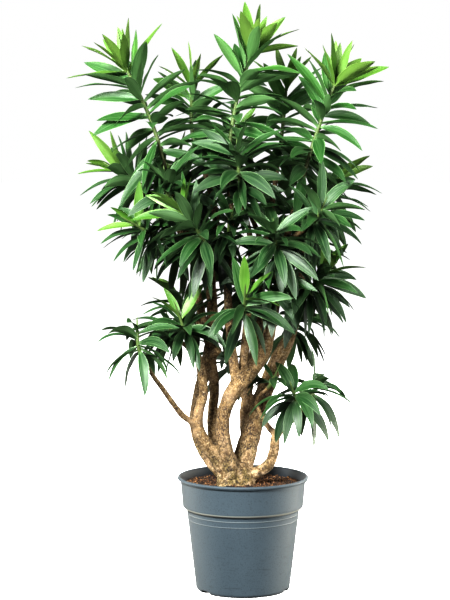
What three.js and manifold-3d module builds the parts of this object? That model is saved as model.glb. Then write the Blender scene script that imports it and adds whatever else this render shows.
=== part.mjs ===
// A branched dracaena in a nursery pot: a grey-blue moulded pot, its potting soil, the woody plant,
// and at the end of each twig a leafy shoot of dark blades with a tuft of young blades at its tip.
// Millimetres, +Z up. The origin is the middle of the pot's flat underside.
import * as THREE from "three";
import { mergeVertices } from "three/addons/utils/BufferGeometryUtils.js";
import Module from "manifold-3d";

const wasm = await Module();
wasm.setup();

// ---- Driving dimensions -------------------------------------------------------------------------
const POT_HEIGHT = 280;
const RIM_RADIUS = 160;
const WALL = 2.4;
const FLOOR = 3;
const ROUND_SIDES = 24; // sides of the pot and of the soil
const SEAT_GAP = 0.4; // what is left between two pieces that rest on each other
const DRAIN_ANGLES = [-143, -23, 97]; // degrees round from +X, one behind and two at the front's sides
const DRAIN = { width: 34, height: 8, from: 88, to: 130 }; // notches between two distances from the axis

const SOIL = { top: 260, edgeDrop: 3, heap: 3, heapSpread: 77, lump: 1.6, fineLump: 1.2 };

// The foot where all the stems meet: half its width and depth, its lobes, and its size at each height.
const STUMP = { x: -20, y: -10, wide: 45, deep: 40, threeLobes: 0.1, fiveLobes: 0.05, sides: 14 };
const STUMP_LEVELS = [[190, 0.62], [225, 0.84], [250, 1.04], [272, 1], [292, 0.92], [315, 0.62]];

const STEM_STEP = 70; // the length of a straight piece of a shoot's stem
const SHOOT_RADIUS = { base: 4.9, tip: 3.8, tuft: 1.2, bud: 0.8 };
const TUFT_LENGTH = 26; // the tapered stem that the young blades grow from
const BUD_LENGTH = 13; // the point that ends a shoot without young blades

const LEAF_STEPS = 8; // straight steps along a blade's midrib
const DARK_RINGS = [0, 3, 6, 8]; // the steps that a solid blade has a section at
const YOUNG_RINGS = [0, 4, 8];
const LEAF_RATIO = 0.23; // a blade's width over its length
const KEEL = { root: 2.4, blade: 1.5 }; // how far the midrib stands out under a blade
const ROOT_OFFSET = 2.2; // a blade starts this far off its stem's middle, still inside the stem

// How blades stand, each from the lowest on its stem to the highest: degrees from the stem, how fast they
// bend down, and their length as a share of the shoot's. Then how much each of these may vary.
const DARK_HABIT = { angle: [124, 44], droop: [0.1, 0.05], size: [0.95, 0.95] };
const YOUNG_HABIT = { angle: [60, 14], droop: [0.04, 0.04], size: [1, 0.7] };
const VARY = { angle: 30, droop: 0.6, size: 0.16, turn: 24, twist: 105 };
const GOLDEN_ANGLE = 137.5; // from each blade to the next, round the stem
const TUFT_TURN = 467; // how far round the young blades start from the dark ones
const SHOOT_TURN = 40; // how far round each shoot's first blade is from the last shoot's

// How near a new blade may come to what is there already, and the other places that it then tries:
// degrees round the stem, degrees up towards it, and a share of its length.
const CLEAR = { wood: 8, shoot: 13, otherLeaf: 13.5, ownLeaf: 7.5, ownTuft: 11 };
const FREE_FROM = 4; // blades that grow together may touch before this step
const TRIES = [
  [0, 0, 1], [16, -6, 1], [-16, 6, 1], [30, 10, 0.96], [-30, -12, 0.96], [8, 20, 0.9], [-44, 8, 0.9],
  [44, -8, 0.86], [0, 28, 0.8],
];

// The woody branches: sides, then points of x, y, z and radius. Each starts inside what it grows from.
const BRANCHES = [
  // left group
  [8, [[-35, -20, 288, 26], [-65, -30, 330, 18.5], [-100, -40, 380, 15.5], [-110, -40, 415, 14],
    [-105, -40, 455, 12.5], [-96, -35, 492, 11.5], [-106, -37, 565, 10], [-118, -40, 590, 8]]],
  [6, [[-105, -40, 398, 11], [-125, -50, 420, 8.4], [-152, -65, 445, 7.3], [-196, -98, 512, 6.2],
    [-215, -110, 540, 5.5]]],
  [8, [[-50, 15, 285, 20], [-88, 38, 320, 14.5], [-112, 46, 365, 12.5], [-120, 46, 415, 11.5],
    [-112, 42, 465, 12.5], [-98, 34, 515, 15], [-84, 25, 560, 18.5], [-74, 17, 640, 14.5],
    [-80, 14, 795, 12], [-75, 20, 845, 10.5], [-66, 38, 905, 8.8], [-84, 72, 988, 7]]],
  [6, [[-35, 0, 296, 18], [-65, 15, 345, 13], [-76, 20, 400, 12], [-70, 20, 495, 12.4], [-78, 20, 560, 13]]],
  [6, [[-80, 5, 600, 13], [-95, -5, 655, 10.4], [-115, -15, 755, 9], [-121, -20, 808, 8.5],
    [-145, -20, 905, 7.6], [-160, -25, 955, 6.6]]],
  // middle group
  [8, [[-24, -26, 288, 26], [-42, -40, 345, 20], [-50, -45, 405, 17], [-42, -45, 458, 17],
    [-18, -44, 502, 20], [10, -42, 533, 19], [48, -50, 588, 17], [62, -55, 635, 14],
    [80, -50, 722, 11.4], [86, -45, 775, 10.4], [110, -28, 890, 8.4], [125, -20, 940, 7]]],
  [6, [[-10, -42, 502, 14], [-20, -35, 538, 12.4], [-31, -25, 630, 10.8], [-38, -15, 760, 9.8],
    [-30, -10, 915, 7.8]]],
  [6, [[0, -34, 520, 13], [1, -10, 558, 11.6], [11, 5, 655, 10.4], [20, 8, 745, 9.4], [20, -2, 815, 8.4],
    [15, -28, 873, 7]]],
  // right group
  [8, [[-8, 8, 290, 29], [6, 24, 330, 27], [30, 41, 415, 23], [46, 45, 465, 21.5],
    [80, 45, 547, 19.5], [101, 39, 590, 17.5], [119, 28, 632, 13.5], [130, 12, 664, 9]]],
  [6, [[14, 34, 352, 17], [5, 45, 408, 13.4], [9, 55, 460, 12.6], [27, 65, 570, 12],
    [37, 67, 635, 11.4], [43, 71, 715, 10.4], [52, 78, 810, 9], [75, 102, 962, 7]]],
  [6, [[98, 40, 582, 12.5], [114, 72, 625, 10.2], [127, 98, 675, 9.2], [140, 114, 730, 8.6],
    [151, 124, 786, 7.8], [165, 124, 843, 6.6]]],
  [7, [[5, -5, 284, 18], [36, -15, 291, 14.8], [65, -20, 315, 13], [76, -20, 350, 12.2],
    [81, -17, 382, 11.2], [110, -21, 416, 7.4]]],
  [5, [[76, -14, 386, 8.5], [57, -5, 408, 7.2], [33, 4, 462, 5.6]]],
  [5, [[98, -19, 403, 7.5], [125, 0, 420, 6.4]]],
];

// The leafy shoots. Each has the twig that it ends, as points of x, y, z and radius, its growing tip,
// the length of its blades, how many of them are dark and how many young, and how strongly they hang.
const SHOOTS = [
  { name: "crown", tip: [15, -5, 1292], leaf: 152, dark: 25, young: 9, hang: 0.8,
    twig: [[-30, -10, 915, 7.8], [-34, -10, 980, 6]] },
  { name: "left_top", tip: [-270, -35, 1250], leaf: 152, dark: 18, young: 9, hang: 0.7,
    twig: [[-160, -25, 955, 6.6], [-178, -25, 985, 6.2], [-185, -25, 1020, 5.6]] },
  { name: "right_top", tip: [212, -30, 1215], leaf: 152, dark: 18, young: 9, hang: 0.7,
    twig: [[125, -20, 940, 7], [141, -20, 1000, 5.8]] },
  { name: "back_left_top", tip: [-125, 125, 1205], leaf: 138, dark: 10, young: 4, hang: 0.8,
    twig: [[-84, 72, 988, 7], [-110, 108, 1055, 5.6]] },
  { name: "back_right_top", tip: [105, 135, 1200], leaf: 142, dark: 11, young: 5, hang: 0.8,
    twig: [[75, 102, 962, 7], [86, 115, 1035, 5.6]] },
  { name: "centre_left", tip: [-132, -150, 920], leaf: 132, dark: 12, young: 4, hang: 1.1,
    twig: [[-78, 12, 735, 9], [-75, -40, 772, 7], [-82, -110, 830, 5.8]] },
  { name: "right_low", tip: [182, -60, 768], leaf: 132, dark: 12, young: 4, hang: 1.5,
    twig: [[130, 12, 664, 9], [146, -25, 715, 6.4]] },
  { name: "centre_low", tip: [2, -180, 722], leaf: 130, dark: 10, young: 2, hang: 1.4,
    twig: [[-33, -22, 640, 8.5], [-23, -75, 657, 6.8], [-5, -135, 685, 5.6]] },
  { name: "left_mid", tip: [-285, 65, 1010], leaf: 134, dark: 11, young: 3, hang: 1,
    twig: [[-130, -20, 845, 7], [-175, 24, 905, 6.2], [-220, 50, 960, 5.4]] },
  { name: "left_low_mid", tip: [-240, -85, 890], leaf: 124, dark: 9, young: 2, hang: 1.3,
    twig: [[-121, -20, 808, 6.8], [-155, -36, 842, 6.2], [-186, -50, 858, 5.6]] },
  { name: "inner_left", tip: [-185, -112, 1010], leaf: 132, dark: 11, young: 0, hang: 1.2,
    twig: [[-143, -20, 898, 6.4], [-165, -72, 932, 5.4]] },
  { name: "front_centre", tip: [72, -165, 892], leaf: 134, dark: 13, young: 0, hang: 1.3,
    twig: [[86, -46, 775, 8], [80, -122, 822, 6]] },
  { name: "middle_left", tip: [-28, -100, 922], leaf: 126, dark: 9, young: 0, hang: 1.2,
    twig: [[-36, -14, 790, 8.5], [-38, -55, 838, 6]] },
  { name: "middle_right", tip: [58, -128, 800], leaf: 126, dark: 9, young: 0, hang: 1.3,
    twig: [[70, -53, 672, 9], [66, -88, 715, 6]] },
  { name: "deep_left", tip: [-92, -62, 880], leaf: 122, dark: 7, young: 0, hang: 1.2,
    twig: [[-79, 13, 770, 9], [-86, -25, 808, 6]] },
  { name: "deep_right", tip: [150, -12, 862], leaf: 122, dark: 7, young: 0, hang: 1.3,
    twig: [[88, -43, 790, 9], [118, -30, 815, 6]] },
  { name: "inner_centre", tip: [-15, -130, 1075], leaf: 140, dark: 15, young: 0, hang: 1.1,
    twig: [[15, -28, 873, 7], [0, -82, 942, 5.6]] },
  { name: "inner_right", tip: [185, -110, 940], leaf: 132, dark: 11, young: 0, hang: 1.2,
    twig: [[104, -33, 860, 7], [147, -76, 886, 5.8]] },
  { name: "right_mid", tip: [222, 135, 985], leaf: 130, dark: 10, young: 2, hang: 1.2,
    twig: [[165, 124, 843, 6.6], [182, 122, 905, 5.4]] },
  { name: "low_left", tip: [-146, -62, 658], leaf: 118, dark: 7, young: 2, hang: 1.5,
    twig: [[-118, -40, 590, 8], [-134, -50, 626, 5.8]] },
  { name: "low_left_side", tip: [-178, -28, 655], leaf: 112, dark: 5, young: 0, hang: 1.5,
    twig: [[-114, -40, 584, 6.5], [-159, -31, 620, 4.8]] },
  { name: "far_left", tip: [-252, -128, 652], leaf: 118, dark: 11, young: 0, hang: 1.8,
    twig: [[-215, -110, 540, 5.5], [-238, -123, 582, 4.6]] },
  { name: "low_right_front", tip: [120, -68, 497], leaf: 124, dark: 11, young: 0, hang: 2,
    twig: [[110, -21, 416, 7.4], [123, -46, 455, 5.6]] },
  { name: "low_right_side", tip: [180, 30, 500], leaf: 124, dark: 12, young: 0, hang: 2,
    twig: [[125, 0, 420, 6.4], [155, 19, 455, 5.4]] },
  { name: "low_right_inner", tip: [76, -45, 532], leaf: 104, dark: 5, young: 0, hang: 1.6,
    twig: [[33, 4, 462, 5.6], [60, -30, 500, 4.6]] },
  { name: "pale_left", tip: [-150, 145, 690], leaf: 122, dark: 7, young: 3, hang: 1,
    twig: [[-78, 18, 612, 9], [-112, 100, 645, 5.8]] },
  { name: "back_centre", tip: [-15, 195, 1082], leaf: 135, dark: 10, young: 2, hang: 1,
    twig: [[53, 80, 822, 8], [36, 124, 870, 6.8], [16, 160, 915, 6]] },
  { name: "back_mid_left", tip: [-162, 185, 982], leaf: 128, dark: 9, young: 2, hang: 1.2,
    twig: [[-74, 22, 852, 8], [-116, 125, 897, 6]] },
  { name: "back_mid_right", tip: [120, 232, 945], leaf: 128, dark: 9, young: 2, hang: 1.2,
    twig: [[151, 124, 786, 7.4], [140, 195, 857, 5.8]] },
  { name: "back_low_centre", tip: [-22, 205, 752], leaf: 125, dark: 8, young: 2, hang: 1.4,
    twig: [[36, 68, 615, 8.5], [9, 150, 677, 6]] },
  { name: "back_low_right", tip: [155, 172, 668], leaf: 121, dark: 8, young: 2, hang: 1.4,
    twig: [[82, 45, 550, 9.5], [119, 130, 605, 6.2]] },
  { name: "back_low", tip: [-46, 125, 572], leaf: 110, dark: 6, young: 0, hang: 1.6,
    twig: [[9, 55, 455, 9], [-25, 110, 510, 5.6]] },
  { name: "back_left", tip: [-190, 150, 848], leaf: 124, dark: 8, young: 2, hang: 1.3,
    twig: [[-78, 15, 750, 8], [-136, 104, 806, 6]] },
  { name: "back_right", tip: [180, 225, 822], leaf: 122, dark: 7, young: 2, hang: 1.3,
    twig: [[139, 114, 728, 7], [160, 186, 780, 5.6]] },
];

// ---- Colours -------------------------------------------------------------------------------------
const finish = (color, roughness) => new THREE.MeshStandardMaterial({ color, roughness, metalness: 0 });
const POT_PLASTIC = finish(0x5f6f78, 0.5);
const SOIL_BROWN = finish(0x4a2c1c, 0.95);
const BARK = finish(0xa8865a, 0.85);
const DARK_LEAF = finish(0x2c5e33, 0.4);
const YOUNG_LEAF = finish(0x6fae2a, 0.4);

// ---- Small helpers -------------------------------------------------------------------------------
const radians = THREE.MathUtils.degToRad;
const mix = THREE.MathUtils.lerp;
const vector = (point) => new THREE.Vector3(point[0], point[1], point[2]);
const profile = (points) => points.map(([r, z]) => new THREE.Vector2(r, z));

// Draws from 0 to 1 that repeat for the same seed.
function drawer(seed) {
  let state = seed * 7919 + 12345;
  const draw = () => {
    state = (state * 1664525 + 1013904223) % 4294967296;
    return state / 4294967296;
  };
  draw();
  draw();
  return draw;
}

// A closed geometry from rings of points, each ring with the same number of points, and a cap at each end.
function closedLoft(rings) {
  const sides = rings[0].length;
  const positions = rings.flat().flatMap((p) => [p.x, p.y, p.z]);
  const faces = [];
  for (let ring = 0; ring + 1 < rings.length; ring++) {
    for (let side = 0; side < sides; side++) {
      const next = (side + 1) % sides;
      const [a, b] = [ring * sides + side, ring * sides + next];
      faces.push(a, b, b + sides, a, b + sides, a + sides);
    }
  }
  const last = (rings.length - 1) * sides;
  for (let side = 1; side + 1 < sides; side++) {
    faces.push(0, side + 1, side);
    faces.push(last, last + side, last + side + 1);
  }
  const geometry = new THREE.BufferGeometry();
  geometry.setAttribute("position", new THREE.Float32BufferAttribute(positions, 3));
  geometry.setIndex(faces);
  return geometry;
}

function solid(geometry) {
  const bare = geometry.clone();
  bare.deleteAttribute("normal");
  bare.deleteAttribute("uv");
  const merged = mergeVertices(bare, 1e-4);
  return new wasm.Manifold(
    new wasm.Mesh({
      numProp: 3,
      vertProperties: new Float32Array(merged.attributes.position.array),
      triVerts: new Uint32Array(merged.index.array),
    }),
  );
}

function meshOf(name, body, material) {
  const data = body.getMesh();
  const geometry = new THREE.BufferGeometry();
  geometry.setAttribute("position", new THREE.Float32BufferAttribute(data.vertProperties, 3));
  geometry.setIndex(new THREE.BufferAttribute(data.triVerts, 1));
  const mesh = new THREE.Mesh(geometry, material);
  mesh.name = name;
  return mesh;
}

// A tapered tube through points of x, y, z and radius. Its first end can be cut square to a given direction.
function taperedTube(points, sides, squareTo) {
  const spots = points.map(vector);
  const heading = spots.map((spot, i) => {
    if (i === 0 && squareTo) return squareTo;
    const before = spots[Math.max(0, i - 1)];
    const after = spots[Math.min(spots.length - 1, i + 1)];
    return after.clone().sub(before).normalize();
  });
  const across = new THREE.Vector3(1, 0, 0);
  const rings = spots.map((spot, i) => {
    across.addScaledVector(heading[i], -across.dot(heading[i])).normalize();
    const beside = new THREE.Vector3().crossVectors(heading[i], across);
    return Array.from({ length: sides }, (_, side) => {
      const angle = (2 * Math.PI * side) / sides;
      const [right, forward] = [points[i][3] * Math.cos(angle), points[i][3] * Math.sin(angle)];
      return spot.clone().addScaledVector(across, right).addScaledVector(beside, forward);
    });
  });
  return solid(closedLoft(rings));
}

// ---- Pot -----------------------------------------------------------------------------------------
// The corners of its wall as radius and height: the foot's bend, the shoulder, and the band's foot and top.
const [FOOT, SHOULDER, BAND_FOOT, BAND_TOP] = [[115.5, 11], [137.4, 199], [147.4, 211], [152.6, 271]];
const POT_INSIDE = [FOOT, SHOULDER, BAND_FOOT, BAND_TOP].map(([r, z]) => [r - WALL, z]);
const RING_HEIGHTS = [176, 190];
const RING = { out: 1, half: 1.5 }; // how far each fine ring stands out, and half its height

// The radius of a wall through these corners at a height.
function radiusAt(corners, z) {
  const upper = corners.findIndex((corner) => corner[1] >= z);
  const [[r0, z0], [r1, z1]] = [corners[upper - 1], corners[upper]];
  return mix(r0, r1, (z - z0) / (z1 - z0));
}

function buildPot() {
  const rings = RING_HEIGHTS.flatMap((z) => {
    const spots = [[-RING.half, 0], [0, RING.out], [RING.half, 0]];
    return spots.map(([up, out]) => [radiusAt([FOOT, SHOULDER], z + up) + out, z + up]);
  });
  const outside = [[108, 0], FOOT, ...rings, SHOULDER, BAND_FOOT, BAND_TOP];
  const lip = [[RIM_RADIUS - 1.4, 272], [RIM_RADIUS, 275], [RIM_RADIUS - 2, POT_HEIGHT]];
  const rim = [...lip, [152, POT_HEIGHT - 0.5]];
  const floor = [[106, FLOOR], [0, FLOOR]];
  const outline = [[0, 0], ...outside, ...rim, ...POT_INSIDE.toReversed(), ...floor];
  const lathe = new THREE.LatheGeometry(profile(outline), ROUND_SIDES);
  lathe.rotateX(Math.PI / 2);
  let body = solid(lathe);
  for (const angle of DRAIN_ANGLES) {
    const notch = new THREE.BoxGeometry(DRAIN.to - DRAIN.from, DRAIN.width, DRAIN.height + 1);
    notch.translate((DRAIN.to + DRAIN.from) / 2, 0, (DRAIN.height - 1) / 2);
    notch.rotateZ(radians(angle));
    body = body.subtract(solid(notch));
  }
  return body;
}

// ---- Stump and soil ------------------------------------------------------------------------------
// The stump, grown by a distance all round where it is used to cut its hole in the soil.
function stump(grown) {
  const rings = STUMP_LEVELS.map(([z, share], level) =>
    Array.from({ length: STUMP.sides }, (_, side) => {
      const angle = (2 * Math.PI * side) / STUMP.sides;
      const lobes = 1 + STUMP.threeLobes * Math.cos(3 * angle + 0.8) + STUMP.fiveLobes * Math.cos(5 * angle);
      return new THREE.Vector3(
        STUMP.x + (STUMP.wide * share * lobes + grown) * Math.cos(angle),
        STUMP.y + (STUMP.deep * share * lobes + grown) * Math.sin(angle),
        level === 0 ? z - grown : z,
      );
    }),
  );
  return solid(closedLoft(rings));
}

// The soil's top is heaped a little round the stump and has low lumps.
function soilHeight(x, y) {
  const away = Math.hypot(x - STUMP.x, y - STUMP.y) / SOIL.heapSpread;
  const lumps = SOIL.lump * Math.sin(x / 11 + 0.5) * Math.cos(y / 13) + SOIL.fineLump * Math.sin((x + y) / 7);
  return SOIL.top + SOIL.heap * Math.exp(-away * away) + lumps;
}

function buildSoil() {
  const bottom = FLOOR + SEAT_GAP;
  const edge = SOIL.top - SOIL.edgeDrop;
  const wall = POT_INSIDE.slice(0, 3).map(([r, z]) => [r - SEAT_GAP, z + SEAT_GAP]);
  const side = [[105, bottom], ...wall, [radiusAt(POT_INSIDE, edge) - SEAT_GAP, edge]];
  const top = [88, 50, 0].map((r) => [r, SOIL.top]);
  const lathe = new THREE.LatheGeometry(profile([[0, bottom], ...side, ...top]), ROUND_SIDES);
  lathe.rotateX(Math.PI / 2);
  const spots = lathe.attributes.position;
  for (let i = 0; i < spots.count; i++) {
    if (spots.getZ(i) > SOIL.top - 1) spots.setZ(i, soilHeight(spots.getX(i), spots.getY(i)));
  }
  return solid(lathe).subtract(stump(SEAT_GAP + 0.2));
}

// ---- Woody plant ---------------------------------------------------------------------------------
function buildWood() {
  const twigSides = 4;
  let body = stump(0);
  const carriedOn = new Set();
  for (const [sides, points] of BRANCHES) {
    // A twig that starts where a branch ends carries it on.
    const onward = SHOOTS.find((shoot) => vector(shoot.twig[0]).equals(vector(points.at(-1))));
    if (onward) carriedOn.add(onward);
    body = body.add(taperedTube([...points, ...(onward ? onward.twig.slice(1) : [])], sides));
  }
  for (const shoot of SHOOTS) if (!carriedOn.has(shoot)) body = body.add(taperedTube(shoot.twig, twigSides));
  return body;
}

// ---- Leafy shoots --------------------------------------------------------------------------------
function twigLean(shoot) {
  return vector(shoot.twig.at(-1)).sub(vector(shoot.twig.at(-2))).normalize();
}

// The line of a shoot's stem as points: it leaves the twig's end straight on and bends to the growing tip.
function shootLine(shoot) {
  const end = vector(shoot.twig.at(-1));
  const lean = twigLean(shoot);
  const start = end.clone().addScaledVector(lean, SEAT_GAP);
  const tip = vector(shoot.tip);
  const reach = start.distanceTo(tip);
  const bend = start.clone().addScaledVector(lean, reach / 2);
  const pieces = Math.max(3, Math.round(reach / STEM_STEP));
  return new THREE.QuadraticBezierCurve3(start, bend, tip).getPoints(pieces);
}

// The tuft's stem goes straight on from the shoot's tip.
function tuftLine(shoot) {
  const [before, tip] = shootLine(shoot).slice(-2);
  const onward = tip.clone().sub(before).normalize();
  return [SEAT_GAP, SEAT_GAP + TUFT_LENGTH].map((distance) => tip.clone().addScaledVector(onward, distance));
}

function lineLength(line) {
  return line.slice(1).reduce((sum, spot, i) => sum + spot.distanceTo(line[i]), 0);
}

// The spot at a share of the way along a line, and the line's direction there.
function spotOn(line, share) {
  let left = share * lineLength(line);
  for (let i = 1; i < line.length; i++) {
    const step = line[i].distanceTo(line[i - 1]);
    const axis = line[i].clone().sub(line[i - 1]).normalize();
    const at = line[i - 1].clone().addScaledVector(axis, left);
    if (left <= step || i + 1 === line.length) return { at, axis };
    left -= step;
  }
}

function bladeWidth(length, t) {
  return length * LEAF_RATIO * Math.max(0.1 * (1 - t), Math.sin(Math.PI * t ** 0.85) ** 0.8);
}

// One blade as its midrib's points, the direction across it and its upper face's normal at each of them.
function blade(root, axis, outward, angle, length, droop, twist) {
  const along = axis.clone().multiplyScalar(Math.cos(angle)).addScaledVector(outward, Math.sin(angle));
  const flat = new THREE.Vector3().crossVectors(along, axis).normalize();
  const up = new THREE.Vector3().crossVectors(flat, along);
  const across = flat.multiplyScalar(Math.cos(twist)).addScaledVector(up, Math.sin(twist));
  const spine = [root.clone().addScaledVector(along, ROOT_OFFSET)];
  const sides = [across.clone()];
  const normals = [new THREE.Vector3().crossVectors(across, along)];
  for (let step = 1; step <= LEAF_STEPS; step++) {
    along.z -= droop * (0.5 + step / LEAF_STEPS);
    along.normalize();
    across.addScaledVector(along, -across.dot(along)).normalize();
    spine.push(spine[step - 1].clone().addScaledVector(along, length / LEAF_STEPS));
    sides.push(across.clone());
    normals.push(new THREE.Vector3().crossVectors(across, along));
  }
  return { spine, sides, normals, length };
}

// Points on a blade that its clearance is measured at: the midrib and both edges.
function bladeSamples(made) {
  const samples = [];
  for (let step = 1; step <= LEAF_STEPS; step++) {
    const half = step < LEAF_STEPS ? bladeWidth(made.length, step / LEAF_STEPS) / 2 : 0;
    for (const share of half ? [0, -half, half] : [0]) {
      samples.push({ step, at: made.spine[step].clone().addScaledVector(made.sides[step], share) });
    }
  }
  return samples;
}

const woodSamples = [];
for (const points of [...BRANCHES.map((branch) => branch[1]), ...SHOOTS.map((shoot) => shoot.twig)]) {
  for (let i = 0; i + 1 < points.length; i++) {
    for (const share of [0, 0.25, 0.5, 0.75]) {
      const mixed = points[i].map((value, k) => value + (points[i + 1][k] - value) * share);
      woodSamples.push({ at: vector(mixed), reach: mixed[3] + CLEAR.wood });
    }
  }
}
const stemSamples = SHOOTS.flatMap((shoot, owner) => {
  const line = shootLine(shoot);
  const spots = Array.from({ length: 11 }, (_, i) => spotOn(line, i / 10).at);
  return [...spots, tuftLine(shoot)[1]].map((at) => ({ at, owner }));
});
const leafSamples = [];

function isClear(samples, owner, tuft) {
  const others = stemSamples.filter((stem) => stem.owner !== owner);
  const farApart = (a, b) => Math.max(Math.abs(a.x - b.x), Math.abs(a.z - b.z)) > CLEAR.otherLeaf;
  for (const { step, at } of samples) {
    if (step > 1 && woodSamples.some((wood) => at.distanceTo(wood.at) < wood.reach)) return false;
    if (others.some((stem) => at.distanceTo(stem.at) < CLEAR.shoot)) return false;
    for (const leaf of leafSamples) {
      if (farApart(leaf.at, at)) continue;
      const together = leaf.owner === owner && leaf.tuft === tuft;
      if (together && Math.min(step, leaf.step) < FREE_FROM) continue;
      const least = leaf.owner !== owner ? CLEAR.otherLeaf : together ? CLEAR.ownLeaf : CLEAR.ownTuft;
      if (leaf.at.distanceTo(at) < least) return false;
    }
  }
  return true;
}

// Places one blade by its share of the way up its stem, or gives null where no try is clear.
function placeBlade(shoot, owner, line, index, count, tuft, draw) {
  const habit = tuft ? YOUNG_HABIT : DARK_HABIT;
  const share = (index + 0.5) / count;
  const vary = (amount) => amount * (draw() - 0.5);
  const turn = GOLDEN_ANGLE * index + (tuft ? TUFT_TURN : 0) + SHOOT_TURN * owner + vary(VARY.turn);
  const angle = mix(...habit.angle, share) + vary(VARY.angle);
  const length = shoot.leaf * mix(...habit.size, share) * (1 + vary(VARY.size));
  const droop = shoot.hang * mix(...habit.droop, share) * (1 + vary(VARY.droop));
  const twist = radians(vary(VARY.twist));
  const lowest = Math.min(0.4, 10 / lineLength(line));
  const highest = 1 - 5 / lineLength(line);
  const { at: root, axis } = spotOn(line, mix(lowest, highest, share));
  const across = new THREE.Vector3(0.36, -0.48, 0.8).cross(axis).normalize();
  const beside = new THREE.Vector3().crossVectors(axis, across);
  for (const [swing, lift, scale] of TRIES) {
    const round = radians(turn + swing);
    const outward = across.clone().multiplyScalar(Math.cos(round)).addScaledVector(beside, Math.sin(round));
    const made = blade(root, axis, outward, radians(angle - lift), length * scale, droop, twist);
    const samples = bladeSamples(made);
    if (!isClear(samples, owner, tuft)) continue;
    for (const sample of samples) leafSamples.push({ ...sample, owner, tuft });
    return made;
  }
  return null;
}

// A blade as a solid: a flat upper face, a keel below the midrib, and a narrow root inside the stem.
function bladeSolid(made, steps) {
  const rings = steps.map((step) => {
    const middle = made.spine[step];
    if (step === LEAF_STEPS) return [middle];
    const half = bladeWidth(made.length, step / LEAF_STEPS) / 2;
    return [
      middle.clone().addScaledVector(made.sides[step], half),
      middle.clone().addScaledVector(made.sides[step], -half),
      middle.clone().addScaledVector(made.normals[step], step ? -KEEL.blade : -KEEL.root),
    ];
  });
  const positions = rings.flat().flatMap((p) => [p.x, p.y, p.z]);
  const edges = [[1, 0], [2, 1], [0, 2]];
  const faces = [0, 1, 2];
  const lastRing = (steps.length - 2) * 3;
  for (let base = 0; base < lastRing; base += 3) {
    for (const [a, b] of edges) {
      faces.push(base + a, base + b, base + b + 3, base + a, base + b + 3, base + a + 3);
    }
  }
  for (const [a, b] of edges) faces.push(lastRing + a, lastRing + b, lastRing + 3);
  const geometry = new THREE.BufferGeometry();
  geometry.setAttribute("position", new THREE.Float32BufferAttribute(positions, 3));
  geometry.setIndex(faces);
  return solid(geometry);
}

// All the blades of one stem, placed from the top down.
function placeBlades(shoot, owner, line, count, tuft, draw) {
  const blades = [];
  for (let i = count - 1; i >= 0; i--) blades.push(placeBlade(shoot, owner, line, i, count, tuft, draw));
  return blades.filter(Boolean);
}

// A shoot's stem, which tapers between two radii. One without a tuft ends in a pointed bud.
function stemSolid(line, squareTo, from, to, budLength = 0) {
  const last = line.length - 1;
  const points = line.map((spot, i) => [...spot.toArray(), mix(from, to, i / last)]);
  if (budLength) {
    const { axis } = spotOn(line, 1);
    points.push([...line[last].clone().addScaledVector(axis, budLength).toArray(), SHOOT_RADIUS.bud]);
  }
  const stemSides = 4;
  return taperedTube(points, stemSides, squareTo);
}

function leafyStem(shoot, blades) {
  const { base, tip } = SHOOT_RADIUS;
  const stem = stemSolid(shootLine(shoot), twigLean(shoot), base, tip, shoot.young ? 0 : BUD_LENGTH);
  return blades.reduce((body, made) => body.add(bladeSolid(made, DARK_RINGS)), stem);
}

function leafyTuft(shoot, blades) {
  const stem = stemSolid(tuftLine(shoot), null, SHOOT_RADIUS.tip, SHOOT_RADIUS.tuft);
  return blades.reduce((body, made) => body.add(bladeSolid(made, YOUNG_RINGS)), stem);
}

// ---- The whole plant -----------------------------------------------------------------------------
const plant = new THREE.Group();
plant.add(meshOf("pot", buildPot(), POT_PLASTIC));
plant.add(meshOf("soil", buildSoil(), SOIL_BROWN));
plant.add(meshOf("wood", buildWood(), BARK));

SHOOTS.forEach((shoot, owner) => {
  const draw = drawer(owner + 1);
  const young = placeBlades(shoot, owner, tuftLine(shoot), shoot.young, true, draw);
  const dark = placeBlades(shoot, owner, shootLine(shoot), shoot.dark, false, draw);
  plant.add(meshOf(`leaves_${shoot.name}`, leafyStem(shoot, dark), DARK_LEAF));
  if (shoot.young) plant.add(meshOf(`young_${shoot.name}`, leafyTuft(shoot, young), YOUNG_LEAF));
});

export default plant;
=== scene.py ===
# %% [markdown]
# # A potted dracaena
#
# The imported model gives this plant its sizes: a nursery pot, its soil, one woody plant, and thirty-four
# leafy shoots with young tufts at their tips. Its solids have few faces, so that they can be tested for
# physics. This lesson dresses them: each piece is built again as a fine mesh in the place of its solid, and
# gets a material made of nodes. Nothing is fitted by eye, because both share one frame, in metres.

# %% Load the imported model
import math

import bpy
import numpy as np
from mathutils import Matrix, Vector, kdtree, noise


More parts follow.
